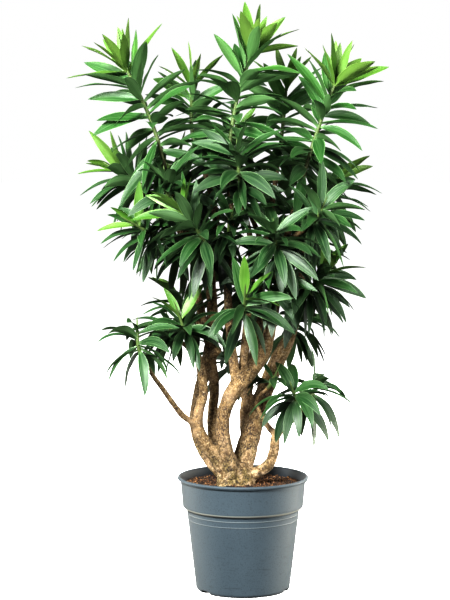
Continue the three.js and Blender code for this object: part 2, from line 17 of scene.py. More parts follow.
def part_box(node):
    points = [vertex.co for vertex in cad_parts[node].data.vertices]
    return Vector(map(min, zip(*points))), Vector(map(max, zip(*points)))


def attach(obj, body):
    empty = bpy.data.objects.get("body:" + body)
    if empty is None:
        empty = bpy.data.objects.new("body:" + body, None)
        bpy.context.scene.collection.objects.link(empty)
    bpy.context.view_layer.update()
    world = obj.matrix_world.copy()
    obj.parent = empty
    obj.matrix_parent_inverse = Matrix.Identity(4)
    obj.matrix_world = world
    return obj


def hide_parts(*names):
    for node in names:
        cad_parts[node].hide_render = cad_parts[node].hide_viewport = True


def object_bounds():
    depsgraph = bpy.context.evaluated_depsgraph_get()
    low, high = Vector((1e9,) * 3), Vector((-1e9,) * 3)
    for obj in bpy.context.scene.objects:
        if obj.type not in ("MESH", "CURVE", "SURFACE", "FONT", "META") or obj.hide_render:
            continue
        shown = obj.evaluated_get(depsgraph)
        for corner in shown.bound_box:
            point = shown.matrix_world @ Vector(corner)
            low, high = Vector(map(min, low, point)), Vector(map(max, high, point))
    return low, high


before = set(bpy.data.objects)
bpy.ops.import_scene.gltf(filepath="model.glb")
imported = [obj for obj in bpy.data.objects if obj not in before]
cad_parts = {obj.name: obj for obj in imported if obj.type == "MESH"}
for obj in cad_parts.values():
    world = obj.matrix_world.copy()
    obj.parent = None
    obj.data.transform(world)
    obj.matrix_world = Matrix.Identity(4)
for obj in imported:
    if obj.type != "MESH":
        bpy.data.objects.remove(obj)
cad_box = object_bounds()
print("nodes:", len(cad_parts), "box:", [tuple(round(v, 3) for v in corner) for corner in cad_box])

# %% [markdown]
# ## The studio
#
# The plant stands in a white studio. One large lamp above the camera's left shoulder gives the leaves their
# satin sheen, and weaker ones open the shadows on the right and behind. The one behind makes no glints,
# which would bleach the blades that are seen nearly edge-on. Two low ones at the sides lighten the edges of
# the pot, as white paper beside it would. Their beams are narrow, to stay off the leaves. The camera stands
# five and a half metres away and looks down a little, so the pot's rim shows as a narrow oval.

# %% Camera
CAMERA_PLACE = (-0.044, -5.5, 1.27)
CAMERA_TILT = 5.8  # degrees down
LENS = 136.8  # millimetres, on a sensor whose long side is 36 mm

scene = bpy.context.scene
camera_data = bpy.data.cameras.new("studio_camera")
camera_data.lens = LENS
camera_data.sensor_width = 36
camera_data.clip_end = 60
camera = bpy.data.objects.new("studio_camera", camera_data)
camera.location = CAMERA_PLACE
camera.rotation_euler = (math.radians(90 - CAMERA_TILT), 0, 0)
scene.collection.objects.link(camera)
scene.camera = camera
print("camera at", CAMERA_PLACE)


# %% Light
def softbox(name, place, aim, size, power, tint=(1, 1, 1), spread=180, glints=True):
    """A square lamp aimed at a spot, with its beam's spread in degrees. It doesn't show itself."""
    lamp = bpy.data.lights.new(name, "AREA")
    lamp.size = size
    lamp.energy = power
    lamp.spread = math.radians(spread)
    lamp.color = tint
    holder = bpy.data.objects.new(name, lamp)
    holder.visible_camera = False
    holder.visible_glossy = glints
    holder.location = place
    holder.rotation_euler = (Vector(aim) - Vector(place)).to_track_quat("-Z", "Y").to_euler()
    scene.collection.objects.link(holder)


PLANT_MIDDLE, POT_MIDDLE = (0, 0, 0.8), (0, 0, 0.13)
WARM = (1, 0.96, 0.88)
softbox("key_softbox", (-1.8, -3.3, 2.9), PLANT_MIDDLE, size=1.3, power=820)
softbox("fill_softbox", (2.5, -3.2, 1.7), PLANT_MIDDLE, size=1.8, power=190)
softbox("back_softbox", (1.2, 3.6, 2.6), PLANT_MIDDLE, size=1.8, power=420, glints=False)
softbox("left_strip", (-1.5, 0.4, 0.25), POT_MIDDLE, size=0.45, power=2.4, tint=WARM, spread=40)
softbox("right_strip", (1.5, 0.4, 0.25), POT_MIDDLE, size=0.45, power=4.2, tint=WARM, spread=40)
scene.view_settings.view_transform = "Standard"
scene.view_settings.gamma = 0.72  # deepens the shadows and keeps white white
print("lamps:", len(bpy.data.lights))

# %% [markdown]
# ## Small tools
#
# Every piece is a list of points and faces, worked out by a formula in millimetres. One helper turns such a
# list into an object, and one draws a smooth curve through a few given points. Materials are trees of nodes,
# and two small classes keep their making short. The first adds a node, and sets or links each input by its
# name. The second is a whole material, whose base colour is laid on in coats.

# %% Meshes
MM = 0.001


def new_object(name, points, faces, sharp_angle=180):
    """An object from points in millimetres and faces, smooth except where it folds more than the angle."""
    mesh = bpy.data.meshes.new(name)
    mesh.from_pydata((np.asarray(points) * MM).tolist(), [], faces)
    mesh.shade_smooth()
    if sharp_angle < 180:
        mesh.set_sharp_from_angle(angle=math.radians(sharp_angle))
    made = bpy.data.objects.new(name, mesh)
    scene.collection.objects.link(made)
    return made


def applied(piece, kind, **settings):
    """Runs one modifier on a piece and keeps its result."""
    modifier = piece.modifiers.new(kind.lower(), kind)
    for name, value in settings.items():
        setattr(modifier, name, value)
    shape = bpy.data.meshes.new_from_object(piece.evaluated_get(bpy.context.evaluated_depsgraph_get()))
    piece.modifiers.clear()
    piece.data = shape


def write_marks(piece, name, vectors):
    """Writes a vector on each point of a piece, for its material to read."""
    marks = piece.data.attributes.new(name, "FLOAT_VECTOR", "POINT")
    marks.data.foreach_set("vector", np.ravel(vectors))


print("mesh tools ready")


# %% Lines and rings
def smooth_through(points, stops):
    """Points on a smooth curve through the given ones, at stops that count them from 0."""
    points = np.asarray(points, float)
    last = len(points) - 1
    base = np.clip(np.floor(stops).astype(int), 0, last - 1)
    t = (stops - base)[:, None]
    here, after = points[base], points[base + 1]
    before = np.where(base[:, None] == 0, 2 * here - after, points[np.maximum(base - 1, 0)])
    later = np.where(base[:, None] == last - 1, 2 * after - here, points[np.minimum(base + 2, last)])
    bend = 2 * before - 5 * here + 4 * after - later
    turn = 3 * here - before - 3 * after + later
    return 0.5 * (2 * here + (after - before) * t + bend * t**2 + turn * t**3)


def unit(vectors):
    """The same directions with length 1."""
    return vectors / np.linalg.norm(vectors, axis=-1, keepdims=True)


def step_lengths(line):
    """The distance from each point of a line to the next."""
    return np.linalg.norm(np.diff(line, axis=0), axis=1)


def angles_round(sides):
    """The angles of points spaced evenly round a circle."""
    return 2 * np.pi * np.arange(sides) / sides


def frames_along(line):
    """For each point of a line: the point, two directions across the line that turn with it, and its own."""
    across = np.array([1.0, 0, 0])
    for spot, axis in zip(line, unit(np.gradient(line, axis=0))):
        across = unit(across - axis * (across @ axis))
        yield spot, across, np.cross(axis, across), axis


def ring_faces(rings, sides):
    """The faces between rings of points that follow each other, all with the same number of sides."""
    faces = []
    for ring in range(rings - 1):
        for side in range(sides):
            a, b = ring * sides + side, ring * sides + (side + 1) % sides
            faces.append((a, b, b + sides, a + sides))
    return faces


def closed_faces(rings, sides):
    """The faces between rings, and a flat one over either end."""
    ends = [tuple(reversed(range(sides))), tuple(range((rings - 1) * sides, rings * sides))]
    return ring_faces(rings, sides) + ends


def tube(line, radii, sides):
    """Points and faces of a closed tube along a line of points, with a radius at each."""
    angles = angles_round(sides)
    rings = []
    for (spot, across, beside, _), radius in zip(frames_along(line), radii):
        rings.append(spot + radius * (np.outer(np.cos(angles), across) + np.outer(np.sin(angles), beside)))
    return np.concatenate(rings), closed_faces(len(line), sides)


def joined(shapes):
    """Several lists of points and faces as one."""
    points, faces, start = [], [], 0
    for shape_points, shape_faces in shapes:
        points.append(shape_points)
        faces += [tuple(start + corner for corner in face) for face in shape_faces]
        start += len(shape_points)
    return np.concatenate(points), faces


print("line and ring tools ready")


# %% Nodes
def colour(code):
    """The red, green, blue and alpha that the shader works in, from a web colour code."""
    channels = [int(code[i : i + 2], 16) / 255 for i in (0, 2, 4)]
    linear = [c / 12.92 if c <= 0.04045 else ((c + 0.055) / 1.055) ** 2.4 for c in channels]
    return (*linear, 1.0)


class Nodes:
    """A tree of nodes in the making, with a short way to add each one."""

    def __init__(self, tree):
        self.tree = tree

    def feed(self, socket, value):
        """Links the value to a socket if it comes from a node, and writes it there if it's plain."""
        if isinstance(value, bpy.types.NodeSocket):
            self.tree.links.new(value, socket)
        else:
            socket.default_value = value

    def node(self, kind, inputs, **settings):
        made = self.tree.nodes.new(kind)
        for name, value in settings.items():
            setattr(made, name, value)
        for name, value in inputs.items():
            self.feed(made.inputs[name], value)
        return made

    def parts(self, vector):
        """The three numbers of a vector."""
        return self.node("ShaderNodeSeparateXYZ", {0: vector}).outputs

    def math(self, operation, a, b=0.0):
        return self.node("ShaderNodeMath", {0: a, 1: b}, operation=operation).outputs[0]

    def both(self, first, second):
        """Where two shares meet, or a share made weaker by a number."""
        return self.math("MULTIPLY", first, second)

    def share(self, value, low, high, soft=True):
        """How far a value is from low to high, from 0 to 1."""
        kind = "SMOOTHSTEP" if soft else "LINEAR"
        inputs = {"Value": value, "From Min": low, "From Max": high}
        return self.node("ShaderNodeMapRange", inputs, interpolation_type=kind).outputs["Result"]

    def mix(self, share, first, second):
        """The first colour where the share is 0 and the second where it is 1."""
        made = self.node("ShaderNodeMix", {}, data_type="RGBA")
        colours = [s for s in made.inputs if s.type == "RGBA"]
        self.feed(made.inputs["Factor"], share)
        self.feed(colours[0], first)
        self.feed(colours[1], second)
        return [s for s in made.outputs if s.type == "RGBA"][0]


print("node tools ready")


# %% Finishes
class Finish(Nodes):
    """A material in the making. Its base colour is laid on in coats."""

    def __init__(self, name, roughness):
        self.material = bpy.data.materials.new(name)
        self.material.use_nodes = True
        super().__init__(self.material.node_tree)
        self.shader = self.tree.nodes["Principled BSDF"]
        self.shader.inputs["Roughness"].default_value = roughness

    def place(self):
        """The point's own place in the model, in metres."""
        return self.node("ShaderNodeTexCoord", {}).outputs["Object"]

    def mark(self, name):
        """A vector that was written on the mesh's points."""
        return self.node("ShaderNodeAttribute", {}, attribute_name=name).outputs["Vector"]

    def scaled(self, vector, factors):
        return self.node("ShaderNodeVectorMath", {0: vector, 1: factors}, operation="MULTIPLY").outputs[0]

    def noise(self, vector, scale, detail=3.0, roughness=0.5):
        inputs = {"Vector": vector, "Scale": scale, "Detail": detail, "Roughness": roughness}
        return self.node("ShaderNodeTexNoise", inputs).outputs["Fac"]

    def ground(self, first, second, share):
        """The base colour to start with, from one colour code to another."""
        self.base = self.mix(share, colour(first), colour(second))

    def coat(self, over, share, strength=1.0):
        """Lays a colour over the base, as strongly as the share and the strength say."""
        if strength < 1:
            share = self.both(share, strength)
        self.base = self.mix(share, self.base, colour(over) if isinstance(over, str) else over)

    def relief(self, height, distance, strength=1.0, over=None):
        """Small relief from a height, over other relief if it's given."""
        inputs = {"Height": height, "Distance": distance, "Strength": strength}
        if over is not None:
            inputs["Normal"] = over
        return self.node("ShaderNodeBump", inputs).outputs["Normal"]

    def rough(self, value, spread, least):
        """A roughness that goes up with a value."""
        return self.math("ADD", self.both(value, spread), least)

    def done(self, normal=None, roughness=None):
        self.feed(self.shader.inputs["Base Color"], self.base)
        if normal is not None:
            self.feed(self.shader.inputs["Normal"], normal)
        if roughness is not None:
            self.feed(self.shader.inputs["Roughness"], roughness)
        return self.material


print("material tools ready")

# %% [markdown]
# The world behind is white to the camera, but lights the plant like studio walls: bright all round, softer
# above, and dim from below, so the heart of the plant and the undersides of the leaves stay dark. The floor
# is a wide pale sheet. The camera sees it, but it throws no white light up into the leaves.

# %% World and floor
FLOOR_HALF = 20000
LEVEL_DOWN, LEVEL_UP = 0.05, 0.34  # the world's light from straight below and from straight above
LEVELS_BETWEEN = ((0.38, 0.05), (0.48, 0.55))  # shares of the way up, with the light there


def studio_world():
    """White where the camera looks at it. As light it is dim below and brightest just above the floor."""
    made = bpy.data.worlds.new("white_studio")
    made.use_nodes = True
    sky = Nodes(made.node_tree)
    direction = sky.node("ShaderNodeTexCoord", {}).outputs["Generated"]
    ramp = sky.node("ShaderNodeValToRGB", {"Fac": sky.share(sky.parts(direction)[2], -1, 1, soft=False)})
    stops = ramp.color_ramp.elements
    stops[0].color = (LEVEL_DOWN, LEVEL_DOWN, LEVEL_DOWN, 1)
    stops[1].color = (LEVEL_UP, LEVEL_UP, LEVEL_UP, 1)
    for position, level in LEVELS_BETWEEN:
        stops.new(position).color = (level, level, level, 1)
    seen = sky.node("ShaderNodeLightPath", {}).outputs["Is Camera Ray"]
    light = sky.mix(seen, ramp.outputs["Color"], colour("ffffff"))
    sky.feed(sky.tree.nodes["Background"].inputs["Color"], light)
    return made


def studio_floor():
    """A wide pale sheet under the pot, which isn't part of the plant."""
    corners = [(x * FLOOR_HALF, y * FLOOR_HALF, 0) for x, y in ((-1, -1), (1, -1), (1, 1), (-1, 1))]
    sheet = new_object("studio_floor", corners, [(0, 1, 2, 3)])
    finish = Finish("floor_paper", roughness=0.9)
    finish.ground("fbfbfb", "ffffff", finish.noise(finish.place(), scale=40))
    finish.shader.inputs["Emission Color"].default_value = (1, 1, 1, 1)
    finish.shader.inputs["Emission Strength"].default_value = 0.6
    sheet.data.materials.append(finish.done())
    sheet.visible_diffuse = False
    sheet.visible_glossy = False


scene.world = studio_world()
studio_floor()
print("white world and floor ready")

# %% [markdown]
# ## The pot
#
# A nursery pot is one thin moulding of soft plastic. Its parts from the foot up: a rounded foot with raised
# notches that let water out, a wall that widens a little, two fine rings, a shoulder, a tall plain band, and
# a rolled rim. A shape that is the same all round is quickest as a profile turned about its axis. The
# notches are then cut out with a Boolean modifier, because they are the only thing that isn't round.

# %% The pot's profile
WALL = 2.4
RIM_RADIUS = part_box("pot")[1].x / MM
FOOT, SHOULDER, BAND_FOOT, BAND_TOP = (115.5, 11), (137.4, 199), (147.4, 211), (152.6, 271)
RING_HEIGHTS = (176, 190)
SHOULDER_EDGE = 204  # the height of the edge under the band, which gets a painted highlight


def arc(middle, radius, start, end, count):
    """Points on an arc in the profile's plane, between two angles in degrees."""
    angles = np.radians(np.linspace(start, end, count))
    return [(middle[0] + radius * math.cos(a), middle[1] + radius * math.sin(a)) for a in angles]


def wall_radius(z):
    """The tapered wall's radius at a height between its foot and its shoulder."""
    share = (z - FOOT[1]) / (SHOULDER[1] - FOOT[1])
    return FOOT[0] + share * (SHOULDER[0] - FOOT[0])


def fine_ring(z):
    """A low sharp ring round the wall."""
    steps = ((-1.8, 0), (-1.0, 0.05), (-0.5, 0.45), (0, 0.65), (0.5, 0.45), (1.0, 0.05), (1.8, 0))
    return [(wall_radius(z + up) + out, z + up) for up, out in steps]


def pot_profile():
    """The pot's outline as radius and height, from the middle underneath, up outside and down inside."""
    foot = [(0, 0), (60, 0), (106, 0), (109.5, 0.6), (112.3, 2.2), (114.3, 5), (115.2, 8), FOOT]
    wall = [(wall_radius(z), z) for z in (14, 40, 70, 100, 130, 160, 171)]
    rings = [spot for z in RING_HEIGHTS for spot in fine_ring(z)]
    shoulder = [(SHOULDER[0] - 0.3, 196), SHOULDER, (138.4, 200.6), (141, 201.9), (144, 203.2)]
    band = [(146.2, 205.6), (147.2, 208.6), BAND_FOOT, (147.7, 214), (150, 241), (152.4, 268), BAND_TOP]
    roll = [(155.5, 271.4), (158.2, 272), *arc((RIM_RADIUS - 4, 276), 4, -50, 150, 12), (151.8, 277.4)]
    inside = [(150.7, 272), (150.1, 269), (BAND_FOOT[0] - WALL, 211), (SHOULDER[0] - WALL, 199)]
    inside += [(wall_radius(z) - WALL, z) for z in (150, 80, 14)]
    return foot + wall + rings + shoulder + band + roll + inside + [(111, 5), (106, 3), (0, 3)]


print("profile:", len(pot_profile()), "points")

# %% Turning it
ROUND = 144  # sides of everything turned


def turned(name, profile, sharp_angle):
    """A profile turned round the pot's axis. It starts and ends on the axis."""
    angles = angles_round(ROUND)
    rings = []
    for r, z in profile[1:-1]:
        rings.append(np.stack([r * np.cos(angles), r * np.sin(angles), np.full(ROUND, float(z))], 1))
    points = np.concatenate([*rings, [[0, 0, profile[0][1]], [0, 0, profile[-1][1]]]])
    faces = ring_faces(len(rings), ROUND)
    bottom, top = len(points) - 2, len(points) - 1
    last = (len(rings) - 1) * ROUND
    for side in range(ROUND):
        following = (side + 1) % ROUND
        faces.append((bottom, following, side))
        faces.append((top, last + side, last + following))
    return new_object(name, points, faces, sharp_angle)


pot = turned("moulded_pot", pot_profile(), sharp_angle=50)
print("pot:", len(pot.data.polygons), "faces before its notches")

# %% Drain notches
NOTCH_ANGLES = (-143, -23, 97)  # degrees round from +X, one behind and two at the front's sides
NOTCH = {"width": 34, "height": 8, "corner": 3.5, "from": 88, "to": 130}


def notch_cutter(angle):
    """A block with a round-cornered upper edge, which leaves a low arch in the foot."""
    half, top, corner = NOTCH["width"] / 2, NOTCH["height"], NOTCH["corner"]
    arch = [(-half, -4), (half, -4), *arc((half - corner, top - corner), corner, 0, 90, 5)]
    arch += arc((corner - half, top - corner), corner, 90, 180, 5)
    rings = [np.array([(x, y, z) for y, z in arch]) for x in (NOTCH["from"], NOTCH["to"])]
    turn = np.radians(angle)
    spin = np.array([[np.cos(turn), np.sin(turn), 0], [-np.sin(turn), np.cos(turn), 0], [0, 0, 1]])
    return np.concatenate(rings) @ spin, closed_faces(2, len(arch))


cutter = new_object("notch_cutter", *joined([notch_cutter(angle) for angle in NOTCH_ANGLES]))
applied(pot, "BOOLEAN", object=cutter, operation="DIFFERENCE", solver="EXACT")
bpy.data.objects.remove(cutter)
print("pot:", len(pot.data.polygons), "faces with three notches")

# %% [markdown]
# The plastic is a dull blue-grey with a satin face. Real ones have very fine grain from the mould, faint
# cloudy patches where hands and water have been, and dust and small scuffs low down. All of that is small
# change on one colour: a slow noise for the clouds, a fine one for the grain, and scuffs that fade with
# height. Two marks are written on the mesh's points. One is the inside, which gets painted shade. The
# other puts pale lines on the rings and on the edge under the band, as painted highlights. The rim is a
# true shape, so it catches the light without any help, and the rings are true shapes too.


# %% The pot's plastic
def pot_plastic():
    finish = Finish("pot_plastic", roughness=0.45)
    place = finish.place()
    clouds = finish.noise(place, scale=9, detail=4)
    grain = finish.noise(place, scale=300, detail=4, roughness=0.7)
    height = finish.parts(place)[2]
    streaks = finish.noise(finish.scaled(place, (24, 24, 160)), scale=1)
    scuffs = finish.both(finish.share(streaks, 0.6, 0.7), finish.share(height, 0.2, 0.02))
    finish.ground("323e45", "3b484f", clouds)
    finish.coat("1f262b", finish.share(grain, 0.5, 0.66), 0.5)
    finish.coat("20282d", scuffs, 0.5)
    inside, painted_highlight = finish.parts(finish.mark("pot_marks"))[:2]
    # Pale lines on the rings and the edge under the band: painted highlights.
    finish.coat("9b9c92", painted_highlight)
    # The inside of the pot is darkened: painted shade.
    finish.coat("161c21", inside, 0.9)
    finish.shader.inputs["Sheen Weight"].default_value = 0.12
    finish.shader.inputs["Sheen Roughness"].default_value = 0.5
    finish.shader.inputs["Sheen Tint"].default_value = colour("f4efe4")
    return finish.done(finish.relief(grain, 0.0003, 0.4), finish.rough(clouds, 0.2, 0.52))


# The edges that get a pale painted highlight: their height, how far they reach up and down, and how strong it
# is.
HIGHLIGHT_EDGES = [*((height, 1, 0.15) for height in RING_HEIGHTS), (SHOULDER_EDGE, 3, 0.75)]


def pot_marks(piece):
    """Two marks for each point: inside the pot, which gets painted shade, and on an outer edge with a painted
    highlight.
    """
    marks = []
    for vertex in piece.data.vertices:
        inside = vertex.normal.x * vertex.co.x + vertex.normal.y * vertex.co.y < -0.02
        painted_highlight = max(highlight_level * (abs(vertex.co.z / MM - height) < reach) for height, reach, highlight_level in HIGHLIGHT_EDGES)
        marks.append((float(inside), 0.0 if inside else painted_highlight, 0.0))
    return marks


write_marks(pot, "pot_marks", pot_marks(pot))
pot.data.materials.clear()
pot.data.materials.append(pot_plastic())
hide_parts("pot")
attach(pot, "root")
print("pot dressed")

# %% [markdown]
# ## The soil
#
# Potting soil is coarse peat: a lumpy surface, loose crumbs of all sizes, and short brown fibres. The bed is
# a round grid whose heights come from the same formula as the solid's, with two sizes of noise on top. The
# crumbs and fibres are real small meshes scattered over it with a fixed seed, because a bump alone looks
# flat where the sun catches the edge of a lump.

# %% Soil bed
SOIL_TOP = 260
STUMP_PLACE = (-20, -10)
SOIL_EDGE = 149.2  # just inside the pot's wall
PLUG = [(1, 3.6), (104, 3.6), (112.6, 11.6), (134.6, 199.4), (144.6, 211.4)]  # its rings: radius and height
BED_RINGS = 70
EDGE_DROP = 3  # how much lower the bed lies at the wall
HEAP_HEIGHT, HEAP_RADIUS = 3, 77  # how the soil is heaped round the stump
COARSE, GRIT = 3.2, 1.6  # how high the two sizes of lumps stand
PEAT_SEED = 7
rng = np.random.default_rng(PEAT_SEED)


def off_stump(x, y):
    """How far a place is from the stump's middle."""
    return math.hypot(x - STUMP_PLACE[0], y - STUMP_PLACE[1])


def soil_height(x, y):
    """The solid's surface: heaped a little round the stump, with low lumps."""
    away = off_stump(x, y) / HEAP_RADIUS
    lumps = 1.6 * math.sin(x / 11 + 0.5) * math.cos(y / 13) + 1.2 * math.sin((x + y) / 7)
    return SOIL_TOP + HEAP_HEIGHT * math.exp(-away * away) + lumps


def peat_height(x, y):
    """The bed's surface: the solid's, with coarse lumps and fine grit."""
    coarse = noise.noise(Vector((x / 9, y / 9, 0.3)))
    grit = noise.noise(Vector((x / 3.2, y / 3.2, 4.1)))
    return soil_height(x, y) + COARSE * coarse + GRIT * grit


def soil_bed():
    """A closed plug of peat with a fine lumpy top."""
    angles = angles_round(ROUND * 2)
    rings = [[(r * math.cos(a), r * math.sin(a), z) for a in angles] for r, z in PLUG]
    for r in np.linspace(SOIL_EDGE, 2, BED_RINGS):
        drop = EDGE_DROP * max(0, (r - 140) / 10)
        spots = [(r * math.cos(a), r * math.sin(a)) for a in angles]
        rings.append([(x, y, peat_height(x, y) - drop) for x, y in spots])
    return new_object("peat_bed", np.concatenate(rings), closed_faces(len(rings), len(angles)))


bed = soil_bed()
print("soil bed:", len(bed.data.vertices), "points")

# %% Crumbs and fibres
CRUMBS, FIBRES = 900, 420
CRUMB_RINGS, CRUMB_SIDES, FIBRE_SIDES = 5, 7, 4
STUMP_CLEAR, WALL_CLEAR = 38, 8
CRUMB_LEAST, CRUMB_MORE = 1.1, 3.4  # the smallest crumb's size, and how much larger they get


def soil_spot():
    """A random place on the open soil, clear of the pot's wall and of the stump."""
    while True:
        x, y = rng.uniform(-SOIL_EDGE, SOIL_EDGE, 2)
        if math.hypot(x, y) < SOIL_EDGE - WALL_CLEAR and off_stump(x, y) > STUMP_CLEAR:
            return x, y


def crumb():
    """A small irregular lump that sits half in the bed."""
    x, y = soil_spot()
    size = CRUMB_LEAST + CRUMB_MORE * rng.random() ** 3
    turn = rng.uniform(0, 2 * np.pi)
    squash = rng.uniform(0.6, 1.0, 3)
    points = []
    for ring in range(CRUMB_RINGS):
        polar = np.pi * (ring + 0.5) / CRUMB_RINGS
        for side in range(CRUMB_SIDES):
            around = 2 * np.pi * side / CRUMB_SIDES + turn
            reach = size * rng.uniform(0.8, 1.2)
            beside = math.sin(polar)
            way = (beside * math.cos(around), beside * math.sin(around), math.cos(polar))
            points.append([reach * part * flat for part, flat in zip(way, squash)])
    points = np.array(points)[::-1] + (x, y, peat_height(x, y) + 0.25 * size)
    return points, closed_faces(CRUMB_RINGS, CRUMB_SIDES)


def fibre():
    """A thin curved thread of peat that lies on the bed."""
    x, y = soil_spot()
    turn, bend = rng.uniform(0, 2 * np.pi), rng.uniform(-1.6, 1.6)
    step, thick = rng.uniform(1.6, 3.6), rng.uniform(0.28, 0.6)
    line = []
    for i in range(6):
        lift = 0.5 + 1.6 * math.sin(math.pi * i / 5) * rng.random()
        line.append((x, y, peat_height(x, y) + lift))
        x, y = x + step * math.cos(turn + bend * i / 5), y + step * math.sin(turn + bend * i / 5)
        if math.hypot(x, y) > SOIL_EDGE - 3:
            break
    line = np.array(line)
    return tube(line, [thick] * len(line), FIBRE_SIDES) if len(line) > 2 else None


loose = [crumb() for _ in range(CRUMBS)]
loose += [thread for thread in (fibre() for _ in range(FIBRES)) if thread]
crumbs = new_object("peat_crumbs", *joined(loose))
print("loose pieces of peat:", len(loose))


# %% Peat
def peat(name, dark, middle, light):
    """Dry brown soil: colour in patches and in specks, and no shine."""
    finish = Finish(name, roughness=0.95)
    place = finish.place()
    patches = finish.noise(place, scale=70, detail=4)
    specks = finish.noise(place, scale=300, detail=3)
    finish.ground(dark, middle, finish.share(patches, 0.4, 0.6))
    finish.coat(light, finish.share(specks, 0.52, 0.66))
    return finish.done(finish.relief(specks, 0.001, 0.8))


bed.data.materials.append(peat("peat_bed", "0c0805", "24170e", "6a4a2c"))
crumbs.data.materials.append(peat("peat_crumbs", "1c120b", "4c3320", "96714a"))
for piece in (bed, crumbs):
    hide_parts("soil")
    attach(piece, "root")
print("soil dressed")

# %% [markdown]
# ## The woody plant
#
# The stems are one grown body: thick, bent, and swollen where they part. The same lists of points and radii
# that shape the solid are repeated here in millimetres, because this script can't read that file. A smooth
# curve goes through each list, and a round tube follows it. The overlapping tubes then become one skin with
# a voxel remesh, which also rounds off the forks the way that bark grows over them.

# %% Branches
# Each branch is a list of points of x, y, z and radius, and starts inside the wood that it grows from.
BRANCHES = [
    # left group
    [(-35, -20, 288, 26), (-65, -30, 330, 18.5), (-100, -40, 380, 15.5), (-110, -40, 415, 14),
     (-105, -40, 455, 12.5), (-96, -35, 492, 11.5), (-106, -37, 565, 10), (-118, -40, 590, 8)],
    [(-105, -40, 398, 11), (-125, -50, 420, 8.4), (-152, -65, 445, 7.3), (-196, -98, 512, 6.2),
     (-215, -110, 540, 5.5)],
    [(-50, 15, 285, 20), (-88, 38, 320, 14.5), (-112, 46, 365, 12.5), (-120, 46, 415, 11.5),
     (-112, 42, 465, 12.5), (-98, 34, 515, 15), (-84, 25, 560, 18.5), (-74, 17, 640, 14.5),
     (-80, 14, 795, 12), (-75, 20, 845, 10.5), (-66, 38, 905, 8.8), (-84, 72, 988, 7)],
    [(-35, 0, 296, 18), (-65, 15, 345, 13), (-76, 20, 400, 12), (-70, 20, 495, 12.4), (-78, 20, 560, 13)],
    [(-80, 5, 600, 13), (-95, -5, 655, 10.4), (-115, -15, 755, 9), (-121, -20, 808, 8.5),
     (-145, -20, 905, 7.6), (-160, -25, 955, 6.6)],
    # middle group
    [(-24, -26, 288, 26), (-42, -40, 345, 20), (-50, -45, 405, 17), (-42, -45, 458, 17),
     (-18, -44, 502, 20), (10, -42, 533, 19), (48, -50, 588, 17), (62, -55, 635, 14), (80, -50, 722, 11.4),
     (86, -45, 775, 10.4), (110, -28, 890, 8.4), (125, -20, 940, 7)],
    [(-10, -42, 502, 14), (-20, -35, 538, 12.4), (-31, -25, 630, 10.8), (-38, -15, 760, 9.8),
     (-30, -10, 915, 7.8)],
    [(0, -34, 520, 13), (1, -10, 558, 11.6), (11, 5, 655, 10.4), (20, 8, 745, 9.4), (20, -2, 815, 8.4),
     (15, -28, 873, 7)],
    # right group
    [(-8, 8, 290, 29), (6, 24, 330, 27), (30, 41, 415, 23), (46, 45, 465, 21.5), (80, 45, 547, 19.5),
     (101, 39, 590, 17.5), (119, 28, 632, 13.5), (130, 12, 664, 9)],
    [(14, 34, 352, 17), (5, 45, 408, 13.4), (9, 55, 460, 12.6), (27, 65, 570, 12), (37, 67, 635, 11.4),
     (43, 71, 715, 10.4), (52, 78, 810, 9), (75, 102, 962, 7)],
    [(98, 40, 582, 12.5), (114, 72, 625, 10.2), (127, 98, 675, 9.2), (140, 114, 730, 8.6),
     (151, 124, 786, 7.8), (165, 124, 843, 6.6)],
    [(5, -5, 284, 18), (36, -15, 291, 14.8), (65, -20, 315, 13), (76, -20, 350, 12.2), (81, -17, 382, 11.2),
     (110, -21, 416, 7.4)],
    [(76, -14, 386, 8.5), (57, -5, 408, 7.2), (33, 4, 462, 5.6)],
    [(98, -19, 403, 7.5), (125, 0, 420, 6.4)],
]
print("branches:", len(BRANCHES))

